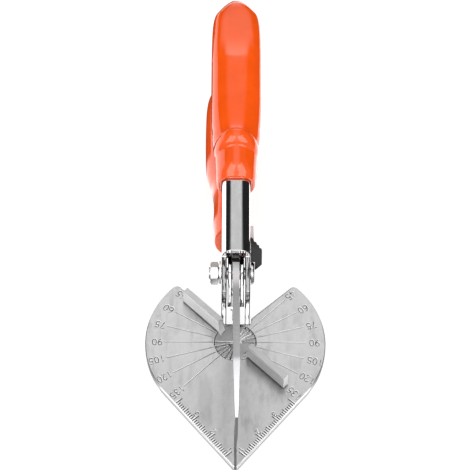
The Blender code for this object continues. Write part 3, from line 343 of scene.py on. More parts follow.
class Graph:
    """A node tree with one method for every node."""

    def __init__(self, tree: bpy.types.NodeTree) -> None:
        """Keep the node tree that the nodes go into."""
        self.tree = tree

    def node(
        self,
        kind: str,
        settings: dict[str, object] | None = None,
        inputs: dict[str | int, object] | None = None,
    ) -> bpy.types.Node:
        """Add a node, set what it does, and give its sockets values or links.

        Args:
            kind: The node's type.
            settings: Its properties; stops are the places and grey levels of a ramp.
            inputs: Its sockets by name or number, each with a value or a Signal.

        Returns:
            The node.
        """
        made = self.tree.nodes.new(kind)
        for name, value in (settings or {}).items():
            if name == "stops":
                self.set_stops(made.color_ramp, value)
            else:
                setattr(made, name, value)
        for name, value in (inputs or {}).items():
            if isinstance(value, Signal):
                self.tree.links.new(value.socket, made.inputs[name])
            else:
                made.inputs[name].default_value = value
        return made

    def read(
        self,
        kind: str,
        settings: dict[str, object] | None = None,
        inputs: dict[str | int, object] | None = None,
        output: str | int = 0,
    ) -> Signal:
        """One output of a new node, which is made as the method node makes it."""
        return Signal(self, self.node(kind, settings, inputs).outputs[output])

    @staticmethod
    def set_stops(ramp: bpy.types.ColorRamp, stops: tuple[Span, ...]) -> None:
        """Give a ramp its stops.

        Args:
            ramp: The ramp.
            stops: Their places and grey levels.
        """
        while len(ramp.elements) < len(stops):
            ramp.elements.new(1.0)
        for element, (place, level) in zip(ramp.elements, stops, strict=True):
            element.position = place
            element.color = (level, level, level, 1.0)

    def maths(self, operation: str, *values: Signal | float) -> Signal:
        """A Math node of the operation on these values."""
        return self.read("ShaderNodeMath", {"operation": operation}, dict(enumerate(values)))

    def place(self, where: PitchedFrame | None) -> Signal:
        """Measure the shaded point in millimetres.

        Args:
            where: The frame that it is measured in, or None for the world.

        Returns:
            The point.
        """
        where = where or PitchedFrame()
        inputs = {
            "Vector": self.read("ShaderNodeTexCoord", output="Object"),
            "Location": where.origin,
            "Rotation": (where.pitch, 0.0, 0.0),
            "Scale": (MM, MM, MM),
        }
        return self.read("ShaderNodeMapping", {"vector_type": "TEXTURE"}, inputs)

    def normal(self) -> Signal:
        """The surface's own normal."""
        return self.read("ShaderNodeNewGeometry", output="Normal")

    def split(self, vector: Signal) -> tuple[Signal, ...]:
        """The three numbers of a vector."""
        parts = self.node("ShaderNodeSeparateXYZ", inputs={0: vector})
        return tuple(Signal(self, output) for output in parts.outputs)

    def noise(self, point: Signal, layer: "Layer") -> Signal:
        """A layer's soft noise.

        Args:
            point: The point in millimetres.
            layer: The layer.

        Returns:
            The noise, from zero to one.
        """
        scale = layer.spots
        if isinstance(scale, tuple):
            stretch = {0: point, 1: scale}
            point = self.read("ShaderNodeVectorMath", {"operation": "MULTIPLY"}, stretch)
            scale = 1.0
        inputs = {"Vector": point, "Scale": scale, "Detail": layer.octaves, "Roughness": layer.fine}
        return self.read("ShaderNodeTexNoise", inputs=inputs)

    def tint(self, share: Signal, first: Colour | Signal, second: Colour | Signal) -> Signal:
        """Mix two colours.

        Args:
            share: How much of the second there is, from zero to one.
            first: The first colour.
            second: The second colour.

        Returns:
            The mixed colour.
        """
        ends = [end if isinstance(end, Signal) else (*end, 1.0) for end in (first, second)]
        inputs = {0: share, 6: ends[0], 7: ends[1]}
        return self.read("ShaderNodeMix", {"data_type": "RGBA"}, inputs, output=2)

    def rounded(self, radius: float) -> Signal:
        """The normal as if each edge were rounded by the radius."""
        return self.read("ShaderNodeBevel", {"samples": BEVEL_SAMPLES}, {"Radius": radius})

    def worn_edge(self, rounded: Signal) -> Signal:
        """Tell rounded edges by how far their rounded normal leans from the face's own; finishes
        shift their tone, and on the fence that shift is a painted highlight.

        Args:
            rounded: The normal of the rounded edges.

        Returns:
            Zero on a flat face, rising towards one on its edges.
        """
        sides = {0: rounded, 1: self.normal()}
        facing = self.read("ShaderNodeVectorMath", {"operation": "DOT_PRODUCT"}, sides, "Value")
        return (1.0 - facing).rises(*WORN)


def smoothing_group() -> bpy.types.NodeTree:
    """Merge loose triangles and smooth all but the sharp edges.

    Returns:
        The geometry nodes that do so.
    """
    tree = bpy.data.node_groups.new("smooth_turns", "GeometryNodeTree")
    for way in ("INPUT", "OUTPUT"):
        tree.interface.new_socket("Geometry", in_out=way, socket_type="NodeSocketGeometry")
    graph = Graph(tree)
    soft = graph.maths("LESS_THAN", graph.read("GeometryNodeInputMeshEdgeAngle"), SHARP_FROM)
    shape = graph.read("NodeGroupInput")
    for kind, settings, inputs in (
        ("MergeByDistance", {}, {"Distance": MERGE}),
        ("RemoveAttribute", {}, {"Name": "custom_normal"}),
        ("SetShadeSmooth", {"domain": "FACE"}, {"Shade Smooth": True}),
        ("SetShadeSmooth", {"domain": "EDGE"}, {"Shade Smooth": soft}),
    ):
        shape = graph.read("GeometryNode" + kind, settings, {"Geometry": shape, **inputs})
    graph.node("NodeGroupOutput", inputs={"Geometry": shape})
    return tree


# ---- finishes -----------------------------------------------------------------------------------


@dataclass(frozen=True)
class Layer:
    """Soft noise, and what it does to a finish.

    Attributes:
        spots: Its spots for each millimetre, or such numbers across, along and up.
        octaves: How many finer octaves it has.
        fine: Strength of each octave, as a share of the one before.
        levels: Levels of the noise between which the tone shifts, or None for the plain noise.
        share: How far the tone shifts.
        factor: The tone that it shifts to, as a multiple of the finish's colour.
        rough: What it adds to the roughness.
        rough_levels: Levels between which the roughness changes, or None for the plain noise.
        relief: Its share in the relief.
    """

    spots: float | Triple
    octaves: float = 2.0
    fine: float = 0.5
    levels: Span | None = None
    share: float = 0.0
    factor: float = 1.0
    rough: float = 0.0
    rough_levels: Span | None = None
    relief: float = 0.0


class Axis(Enum):
    """What the borders of a zone are told by, in the frame in which the zone lies."""

    ACROSS = auto()
    ALONG = auto()
    UP = auto()
    SIDE = auto()  # distance from the middle plane
    REACH = auto()  # distance from the upright through the frame's zero
    INWARD = auto()  # distance from the nearer front edge of the table's face
    RISE = auto()  # upward part of the normal
    FLAT = auto()  # the same, without its sign
    BROAD = auto()  # sideways part of the normal, without its sign
    SKEW = auto()  # product of the normal's parts across and along


@dataclass(frozen=True)
class Zone:
    """A part of a piece with soft borders, where its tone shifts.

    Attributes:
        borders: Rows of an axis, where the zone begins on it, and where it is whole.
        factor: The tone that it shifts to, as a multiple of the finish's colour.
        share: How far it shifts.
    """

    borders: tuple[tuple[Axis, float, float], ...]
    factor: float = 1.0
    share: float = 1.0


@dataclass(frozen=True)
class Finish:
    """A surface finish.

    Attributes:
        name: The material's name.
        colour: Its main colour.
        roughness: Its mean roughness.
        metallic: One for bare or plated metal, and zero for anything else.
        edge: Radius to which its edges look rounded, or zero where they stay sharp.
        depth: Height of the relief where its layers add up to one, in metres.
        base: The tone under its layers, as a multiple of the colour.
        layers: Its layers of noise.
        zones: The parts of the piece where its tone shifts.
        wear: How far the tone shifts on the rounded edges: rubbed edges, and on the fence a painted
            highlight.
        worn: The tone of those edges, as a multiple of the colour.
        sheen: Strength of its gloss where it isn't metal.
        glow: Strength of its own light.
        frame: The frame in which layers and zones lie, or None for the world.
    """

    name: str
    colour: Colour
    roughness: float
    metallic: float = 1.0
    edge: float = 0.0
    depth: float = 0.0
    base: float = 1.0
    layers: tuple[Layer, ...] = ()
    zones: tuple[Zone, ...] = ()
    wear: float = 0.0
    worn: float = 1.0
    sheen: float = 0.5
    glow: float = 0.0
    frame: PitchedFrame | None = None

    def shade(self, factor: float) -> Colour:
        """The main colour made lighter or darker."""
        return tuple(min(1.0, part * factor) for part in self.colour)

    def paint(self, coat: "Coat") -> None:
        """Lay the layers and shift the tone of the rounded edges."""
        coat.lay(self.layers)
        coat.wear()

    def material(self) -> bpy.types.Material:
        """Make the material and paint its detail.

        Returns:
            The material.
        """
        made = bpy.data.materials.new(self.name)
        made.use_nodes = True
        made.node_tree.nodes.clear()
        made.diffuse_color = (*self.colour, 1.0)
        graph = Graph(made.node_tree)
        coat = Coat(graph, self)
        self.paint(coat)
        inputs = {
            "Base Color": coat.tone,
            "Metallic": coat.metallic,
            "Roughness": coat.rough,
            "Specular IOR Level": self.sheen,
            "Emission Color": (1.0, 1.0, 1.0, 1.0),
            "Emission Strength": self.glow,
        }
        if self.depth:
            bump = {"Strength": 1.0, "Distance": self.depth, "Height": coat.height}
            if coat.rounded:
                bump["Normal"] = coat.rounded
            inputs["Normal"] = graph.read("ShaderNodeBump", inputs=bump)
        shader = graph.read("ShaderNodeBsdfPrincipled", inputs=inputs)
        graph.node("ShaderNodeOutputMaterial", inputs={"Surface": shader})
        return made


class Coat:
    """A finish while it goes on: its tone, metal, roughness and relief so far."""

    def __init__(self, graph: Graph, finish: Finish) -> None:
        """Begin with the plain finish.

        Args:
            graph: The material's graph.
            finish: The finish.
        """
        self.graph = graph
        self.finish = finish
        self.point = graph.place(finish.frame)
        self.tone: Colour | Signal = finish.shade(finish.base)
        self.metallic: float | Signal = finish.metallic
        self.rough: float | Signal = finish.roughness
        self.height: float | Signal = 0.0
        self.rounded = graph.rounded(finish.edge) if finish.edge else None
        self.worn = graph.worn_edge(self.rounded) if finish.edge else None
        self.axes: dict[Axis, Signal] = {}
        self.formulas: dict[Axis, Callable[[], Signal]] = {}

    def shift(self, mask: Signal, factor: float) -> None:
        """Shift the tone under a mask to the finish's colour times the factor."""
        self.tone = self.graph.tint(mask, self.tone, self.finish.shade(factor))

    def lay(self, layers: tuple[Layer, ...]) -> list[Signal]:
        """Let each layer change the tone, the roughness and the relief.

        Args:
            layers: The layers, from the lowest.

        Returns:
            The noise of each.
        """
        made = []
        for layer in layers:
            noise = self.graph.noise(self.point, layer)
            made.append(noise)
            if layer.share:
                self.shift(noise.within(layer.levels) * layer.share, layer.factor)
            if layer.rough:
                self.rough = self.rough + noise.within(layer.rough_levels) * layer.rough
            if layer.relief:
                self.height = self.height + noise * layer.relief
        return made

    def wear(self) -> None:
        """Shift the tone on the rounded edges, where the finish has any."""
        if self.worn and self.finish.wear:
            self.shift(self.worn * self.finish.wear, self.finish.worn)

    def measure(self, frame: PitchedFrame) -> None:
        """Work out the axes of a frame.

        The distance from a front edge is the point's place ahead of the tip times the sine of
        the edge's angle, less its distance from the middle plane times the cosine.

        Args:
            frame: The frame in which zones are told from now on.
        """
        across, along, up = self.graph.split(self.graph.place(frame))
        facing = self.graph.split(self.graph.normal())
        ahead, aside = math.sin(FRONT_ANGLE), math.cos(FRONT_ANGLE)
        self.axes = {}
        self.formulas = {
            Axis.ACROSS: lambda: across,
            Axis.ALONG: lambda: along,
            Axis.UP: lambda: up,
            Axis.SIDE: lambda: abs(across),
            Axis.REACH: lambda: self.graph.maths("SQRT", across * across + along * along),
            Axis.INWARD: lambda: (along + TABLE_TIP / MM) * ahead - abs(across) * aside,
            Axis.RISE: lambda: facing[2],
            Axis.FLAT: lambda: abs(facing[2]),
            Axis.BROAD: lambda: abs(facing[0]),
            Axis.SKEW: lambda: facing[0] * facing[1],
        }

    def axis(self, axis: Axis) -> Signal:
        """Work out the point's value on an axis, once.

        Args:
            axis: The axis.

        Returns:
            The value.
        """
        if axis not in self.axes:
            self.axes[axis] = self.formulas[axis]()
        return self.axes[axis]

    def mask(self, zone: Zone) -> Signal:
        """How far a point lies in a zone: the product of its borders and its share.

        Args:
            zone: The zone.

        Returns:
            Zero outside, and the zone's share inside.
        """
        made = zone.share
        for axis, begins, whole in zone.borders:
            made = made * self.axis(axis).rises(begins, whole)
        return made

    def cover(self, *zones: Zone) -> None:
        """Shift the tone in each zone."""
        for zone in zones:
            self.shift(self.mask(zone), zone.factor)


@dataclass(frozen=True)
class ChromePlate(Finish):
    """Polished chrome over pressed sheet, with waves, smears and specks, painted shade inside the
    channel and painted dark reflections on the narrow edges.

    Attributes:
        handle: Frame of the handle whose channel has painted shade inside, or None where there is
            none.
        inside: Half width and height of the channel's inside, in millimetres.
        cheek: Inner and outer side of the cheeks whose narrow edges take painted dark reflections.
        fade: Width over which the painted shade inside begins.
        dull: The painted shade inside the channel, along the handle and up.
        dull_rough: What it adds to the roughness.
        narrow: The narrow edges, and the tone of their painted dark reflections.
        rim: How far a painted dark line reaches from the cheek's sides: at its border, and where
            whole.
        burr: Noise of the painted dark reflections between the rims.
        narrow_rough: What a painted dark reflection adds to the roughness.
    """

    edge: float = 0.0004
    depth: float = 0.000016
    base: float = 0.93
    layers: tuple[Layer, ...] = (
        Layer(0.16, 1.0, relief=1.0),
        Layer((0.45, 0.144, 0.45), 4.0, 0.62, (0.35, 0.7), 1.0, 1.0, 0.07, (0.5, 0.8)),
        Layer(5.5, 3.0, 0.7, (0.66, 0.74), 0.35, 0.6, 0.1, (0.66, 0.74)),
    )
    wear: float = 0.3
    worn: float = 1.12
    handle: PitchedFrame | None = None
    inside: Span = (3.75, 8.6)
    cheek: Span = (3.65, 5.65)
    fade: float = 0.2
    # Painted shade inside the channel.
    dull: Zone = Zone(((Axis.ALONG, 0.5, 2.5), (Axis.UP, -4.0, 0.0)), 0.02)
    dull_rough: float = 0.6
    # Painted dark reflections on the cheeks' narrow edges.
    narrow: Zone = Zone(((Axis.BROAD, 0.75, 0.6), (Axis.ALONG, 4.8, 4.2)), 0.05)
    rim: Span = (0.5, 0.3)
    burr: Layer = Layer((1.7, 0.22, 0.22), 3.0, levels=(0.52, 0.58))
    narrow_rough: float = 0.2

    def paint(self, coat: "Coat") -> None:
        """Lay the plate and shift its edges' tone, then paint shade inside the channel and dark
        reflections on the narrow edges.

        Args:
            coat: The finish as it goes on.
        """
        super().paint(coat)
        if self.handle is None:
            return
        coat.measure(self.handle)
        side, up = coat.axis(Axis.SIDE), coat.axis(Axis.UP)
        half, high = self.inside
        # Painted shade inside the channel.
        dull = side.rises(half + self.fade, half) * up.rises(high + self.fade, high)
        dull = dull * coat.mask(self.dull)
        coat.shift(dull, self.dull.factor)
        # Painted dark reflections on the narrow edges: a line along each side, and streaks between.
        near, far = self.cheek
        begins, whole = self.rim
        rims = side.rises(near + begins, near + whole) + side.rises(far - begins, far - whole)
        burr = coat.graph.noise(coat.graph.place(self.handle), self.burr).within(self.burr.levels)
        dark_reflection = coat.mask(self.narrow) * coat.graph.maths("MAXIMUM", rims, burr)
        coat.shift(dark_reflection, self.narrow.factor)
        coat.rough = coat.rough + self.dull_rough * dull + self.narrow_rough * dark_reflection


@dataclass(frozen=True)
class GroundPlate(Finish):
    """Ground plate: cloudy mottling, grinding lines along Y, painted highlights on the front
    chamfers, and painted shade along its rims, in its slot and beside the blade.

    Attributes:
        rear: Slow darkening from the rear to the tip.
        smudge: Painted shadow of the blade on the left, ahead of the fence.
        smudge_shares: The painted shadow's even part, and its part that follows the grinding lines.
        bevel: Rear chamfers, which are less metallic by the zone's share.
    """

    edge: float = FINE_EDGE
    depth: float = 0.000008
    base: float = 0.86
    layers: tuple[Layer, ...] = (
        Layer(0.11, 5.0, 0.62, (0.32, 0.68), 1.0, 1.12, 0.1, (0.35, 0.75)),
        Layer((0.27, 0.072, 0.3), 4.0, 0.65, (0.48, 0.64), 0.75, 0.78),
        Layer((9.0, 0.35, 2.0), 3.0, 0.7, (0.52, 0.75), 0.25, 0.75, -0.06, relief=1.0),
        Layer(3.5, 3.0, 0.7, (0.52, 0.72), 0.6, 1.5, relief=0.8),
    )
    # Painted highlight on the front chamfer, painted light on the front side and painted shade at
    # its foot, painted shade along the arcs' rim and in the centre slot.
    zones: tuple[Zone, ...] = (
        Zone(((Axis.INWARD, 0.06, -0.02), (Axis.UP, -0.62, -0.5)), 3.0),
        Zone(((Axis.INWARD, 0.06, -0.02), (Axis.UP, -0.5, -0.62)), 1.0),
        Zone(((Axis.INWARD, 0.06, -0.02), (Axis.UP, -2.2, -2.45)), 0.15),
        Zone(
            (
                (Axis.REACH, TABLE_RADIUS / MM - 0.4, TABLE_RADIUS / MM - 0.15),
                (Axis.ALONG, 14.0, 4.0),
                (Axis.ALONG, -21.0, -15.0),
            ),
            0.12,
        ),
        Zone(((Axis.SIDE, 0.6, 0.45), (Axis.UP, -0.1, -0.3)), 0.4),
    )
    wear: float = 0.25
    worn: float = 1.4
    rear: Zone = Zone(((Axis.ALONG, 4.0, -34.0),), 0.45, 0.2)
    # Painted shadow of the blade on the table.
    smudge: Zone = Zone(
        (
            (Axis.ACROSS, -15.5, -13.0),
            (Axis.ACROSS, -8.0, -10.5),
            (Axis.ALONG, -15.0, -19.0),
            (Axis.ALONG, -41.0, -34.0),
        ),
        0.5,
    )
    smudge_shares: Span = (0.12, 0.3)
    bevel: Zone = Zone(((Axis.RISE, 0.96, 0.9), (Axis.ALONG, 5.0, 9.0)), share=0.85)

    def paint(self, coat: "Coat") -> None:
        """Clouds, patches, grinding lines and grain, under the painted shadow of the blade and the
        painted light and shade of the rims and the slot.

        Args:
            coat: The finish as it goes on.
        """
        _, _, lines, _ = coat.lay(self.layers)
        coat.measure(self.frame)
        coat.cover(self.rear)
        # Painted shadow of the blade, streaked along the grinding lines.
        even, lined = self.smudge_shares
        coat.shift(coat.mask(self.smudge) * (even + lined * lines), self.smudge.factor)
        # Painted light and shade on the rims and in the slot.
        coat.cover(*self.zones)
        coat.wear()
        coat.metallic = self.metallic - coat.mask(self.bevel)


@dataclass(frozen=True)
class BlastedSteel(Finish):
    """Fine blasted steel: an even grain, with painted light and shade on the fence's faces and a
    painted highlight on its edges.

    Attributes:
        upright: The arms' milled sides.
        left: The fence's left half.
        sides: Tones of painted light on the milled sides, on the right and on the left.
        milled_shares: The even part of that tone, and the part that follows the cutter's lines.
        lip: The line of painted highlight under the top edges of the sides.
        lip_shares: Its strength on the right, and what the left adds.
        edge_gloss: What the rounded edges take from the roughness.
    """

    edge: float = 0.0003
    depth: float = 0.00001
    base: float = 0.88
    layers: tuple[Layer, ...] = (
        Layer(0.35, 3.0, 0.6, (0.35, 0.7), 1.0, 1.05, 0.12),
        Layer(6.0, 3.0, 0.65, (0.58, 0.75), 0.3, 0.75, relief=1.0),
        Layer((3.0, 3.0, 0.15), 3.0, 0.6),
    )
    # Painted light and shade: highlights on the arms' ends, light in the base's grooves and shade
    # in their left part, light on the tops, and a shadow line at the foot.
    zones: tuple[Zone, ...] = (
        Zone(((Axis.FLAT, 0.5, 0.3), (Axis.SKEW, -0.2, -0.4)), 3.1),
        Zone(((Axis.UP, -0.02, -0.08), (Axis.FLAT, 0.3, 0.5)), 2.5),
        Zone(((Axis.UP, -0.02, -0.08), (Axis.ACROSS, 2.0, -2.0), (Axis.FLAT, 0.3, 0.5)), 0.3),
        Zone(((Axis.FLAT, 0.3, 0.5), (Axis.UP, 6.5, 7.2)), 1.25),
        Zone(((Axis.FLAT, 0.5, 0.3), (Axis.UP, 0.95, 0.65), (Axis.REACH, 8.2, 9.0)), 0.2),
    )
    # The rounded edges' tone shift here is a painted highlight.
    wear: float = 0.85
    worn: float = 2.6
    upright: Zone = Zone(((Axis.FLAT, 0.5, 0.3),))
    left: Zone = Zone(((Axis.ACROSS, 2.0, -2.0),))
    sides: Span = (2.5, 3.1)
    milled_shares: Span = (0.75, 0.25)
    lip: Zone = Zone(((Axis.FLAT, 0.5, 0.3), (Axis.UP, 6.8, 7.1)), 3.1)
    lip_shares: Span = (0.85, 0.15)
    edge_gloss: float = 0.08

    def paint(self, coat: "Coat") -> None:
        """Grain in the bump; painted light and shade on the arms' milled sides, ends, tops and
        foot, and in the base's grooves.

        Args:
            coat: The finish as it goes on.
        """
        _, _, milled = coat.lay(self.layers)
        coat.measure(self.frame)
        # Painted light on the milled sides, brighter on the left than on the right.
        left = coat.mask(self.left)
        right_tone, left_tone = (self.shade(factor) for factor in self.sides)
        even, lined = self.milled_shares
        sides = coat.mask(self.upright) * (even + lined * milled)
        tone = coat.graph.tint(left, right_tone, left_tone)
        coat.tone = coat.graph.tint(sides, coat.tone, tone)
        # Painted highlight under the sides' top edges.
        right, more = self.lip_shares
        coat.shift(coat.mask(self.lip) * (right + more * left), self.lip.factor)
        coat.cover(*self.zones)
        coat.wear()
        coat.rough = coat.rough - self.edge_gloss * coat.worn


@dataclass(frozen=True)
class HonedSteel(Finish):
    """Blade steel: grinding lines in two widths, painted light on the front facet and the spine,
    painted shade at the spine's end, and a darker nose.

    Attributes:
        tail: The rear of the blade, which is less metallic by the zone's share.
    """

    edge: float = FINE_EDGE
    depth: float = 0.000002
    base: float = 0.86
    layers: tuple[Layer, ...] = (
        Layer((1.0, 7.0, 0.3), 4.0, 0.75, (0.3, 0.7), 1.0, 1.06, 0.08, (0.4, 0.75), 1.0),
        Layer((0.6, 0.9, 0.12), 2.0, 0.5, (0.5, 0.75), 0.4, 0.84),
    )
    # Painted highlight on the front facet, painted light on the spine between the cheeks, painted
    # shade on its end under the roof, and a darker nose.
    zones: tuple[Zone, ...] = (
        Zone(((Axis.ALONG, -27.0, -30.0),), 1.85),
        Zone(((Axis.ALONG, 11.0, 19.0),), 1.7),
        Zone(((Axis.ALONG, 27.3, 27.6),), 0.08),
        Zone(((Axis.ALONG, -51.95, -52.15),), 0.3),
    )
    wear: float = 0.3
    worn: float = 1.3
    tail: Zone = Zone(((Axis.ALONG, 8.0, 16.0),), share=0.6)

    def paint(self, coat: "Coat") -> None:
        """Upright grinding lines in two widths, lighter rounded edges, and the zones of painted
        light and shade along the blade.

        Args:
            coat: The finish as it goes on.
        """
        super().paint(coat)
        coat.measure(self.frame)
        coat.cover(*self.zones)
        coat.metallic = self.metallic - coat.mask(self.tail)


@dataclass(frozen=True)
class ZincPlate(Finish):
    """Bright zinc plate on turned and cut pieces, with a fine crystal bloom and stains.

    Attributes:
        crystals: Crystals for each millimetre.
        bloom: Distance from a crystal's middle where its bloom begins, and where it is whole.
        bloom_factor: The bloom's tone, as a multiple of the colour.
        bloom_rough: What it adds to the roughness.
    """

    edge: float = FINE_EDGE
    depth: float = 0.000006
    base: float = 0.9
    layers: tuple[Layer, ...] = (
        Layer(0.6, 3.0, 0.6, (0.55, 0.75), 0.4, 0.72, 0.12, relief=1.0),
    )
    wear: float = 0.7
    worn: float = 1.35
    crystals: float = 2.6
    bloom: Span = (0.1, 0.9)
    bloom_factor: float = 1.06
    bloom_rough: float = 0.06

    def paint(self, coat: "Coat") -> None:
        """Small crystals change tone, gloss and relief under the stains.

        Args:
            coat: The finish as it goes on.
        """
        cells = {"Vector": coat.point, "Scale": self.crystals}
        bloom = coat.graph.read("ShaderNodeTexVoronoi", inputs=cells).within(self.bloom)
        coat.shift(bloom, self.bloom_factor)
        coat.rough = coat.rough + self.bloom_rough * bloom
        coat.height = bloom
        super().paint(coat)


@dataclass(frozen=True)
class SpringWire(Finish):
    """Drawn spring wire: patches of oil, and draw lines."""

    depth: float = 0.000006
    layers: tuple[Layer, ...] = (
        Layer(0.8, 2.0, 0.5, (0.4, 0.7), 1.0, 0.6, -0.12),
        Layer((1.5, 1.5, 13.5), 3.0, 0.7, (0.5, 0.8), 0.4, 1.4, relief=1.0),
    )


@dataclass(frozen=True)
class GripVinyl(Finish):
    """Glossy dipped vinyl: slow ripples, darker and duller handled places, and a fine skin."""

    metallic: float = 0.0
    depth: float = 0.00006
    base: float = 0.94
    layers: tuple[Layer, ...] = (
        Layer(0.09, 1.0, relief=1.0),
        Layer(0.11, 3.0, 0.6, (0.35, 0.7), 1.0, 1.03, 0.04, (0.4, 0.75)),
        Layer(2.4, 2.0, 0.5, (0.55, 0.8), 0.12, 0.86, relief=0.02),
    )
    sheen: float = 0.45


@dataclass(frozen=True)
class CapPlastic(Finish):
    """Moulded black plastic with dust, a spark-eroded grain and greyed edges."""

    metallic: float = 0.0
    edge: float = FINE_EDGE
    depth: float = 0.00002
    layers: tuple[Layer, ...] = (
        Layer(0.5, 3.0, 0.6, (0.45, 0.75), 0.5, 1.8),
        Layer(5.0, 2.0, 0.6, rough=0.12, relief=1.0),
    )
    wear: float = 0.5
    worn: float = 3.5
    sheen: float = 0.28


@dataclass(frozen=True)
class EtchedMark(Finish):
    """Oxide in the etched lines and figures, and the painted highlight beside them, rubbed in
    places.
    """

    metallic: float = 0.0
    depth: float = 0.000008
    layers: tuple[Layer, ...] = (Layer(1.1, 3.0, 0.7, (0.5, 0.75), 1.0, 1.9, -0.15, relief=1.0),)


@dataclass(frozen=True)
class FloorPaint(Finish):
    """Pale matt floor, lit from below, with a barely visible roller grain."""

    metallic: float = 0.0
    layers: tuple[Layer, ...] = (Layer(0.01, 3.0, 0.6, None, 1.0, 0.97),)
    glow: float = 0.8


# ---- marks on the table -------------------------------------------------------------------------


def arc_stroke(middle: Span, radii: Span, start: float, end: float, steps: int) -> np.ndarray:
    """Points of an ellipse's arc: the middle plus the radii times cosine and sine.

    Args:
        middle: Its middle.
        radii: Its half width and half height.
        start: First angle in degrees.
        end: Last angle in degrees.
        steps: How many points.

    Returns:
        The points, as rows of X and Y.
    """
    angle = np.radians(np.linspace(start, end, steps))
    return np.array(middle) + np.array(radii) * np.stack([np.cos(angle), np.sin(angle)], axis=-1)


FIGURE_WIDTH = 0.6
FIGURE_STEP = 0.82
BOWL_SHARES = arc_stroke((0.28, 0.31), (0.28, 0.31), 130, -150, 18)
LOOP_SHARES = arc_stroke((0.3, 0.3), (0.27, 0.3), 0, 360, 22)
BACK_SHARES = arc_stroke((0.52, 0.34), (0.49, 0.66), 100, 184, 12)
FOOT_SHARES = np.array([(0.03, 0.0), (0.6, 0.0)])
# Strokes of each figure in a box 0.6 wide and 1 high, in plain engraver's shapes.
FIGURE_SHARES = {
    "0": [arc_stroke((0.3, 0.5), (0.28, 0.5), 0, 360, 26)],
    "1": [np.array([(0.14, 0.8), (0.34, 1.0), (0.34, 0.0)])],
    "2": [np.vstack([arc_stroke((0.3, 0.71), (0.27, 0.29), 170, -35, 12), FOOT_SHARES])],
    "3": [
        arc_stroke((0.28, 0.76), (0.24, 0.24), 155, -90, 12),
        arc_stroke((0.28, 0.27), (0.29, 0.27), 90, -155, 12),
    ],
    "4": [np.array([(0.44, 0.0), (0.44, 1.0), (0.02, 0.3), (0.6, 0.3)])],
    "5": [np.array([(0.54, 1.0), (0.12, 1.0), (0.09, 0.56)]), BOWL_SHARES],
    "6": [LOOP_SHARES, BACK_SHARES],
    "7": [np.array([(0.03, 1.0), (0.57, 1.0), (0.2, 0.0)])],
    "9": [np.array((0.6, 1.0)) - LOOP_SHARES, np.array((0.6, 1.0)) - BACK_SHARES],
}


def leftward(direction: np.ndarray) -> np.ndarray:
    """A direction on the face, turned a quarter to the left."""
    return np.array((-direction[1], direction[0]))


class Side(Enum):
    """The side of the table, seen from the tip."""

    LEFT = -1
    RIGHT = 1


class Ink:
    """The dark strokes of some marks, and the painted highlights of their lit flanks."""

    def __init__(self) -> None:
        """Start with no strokes."""
        self.dark = MeshBuffer()
        self.bright = MeshBuffer()


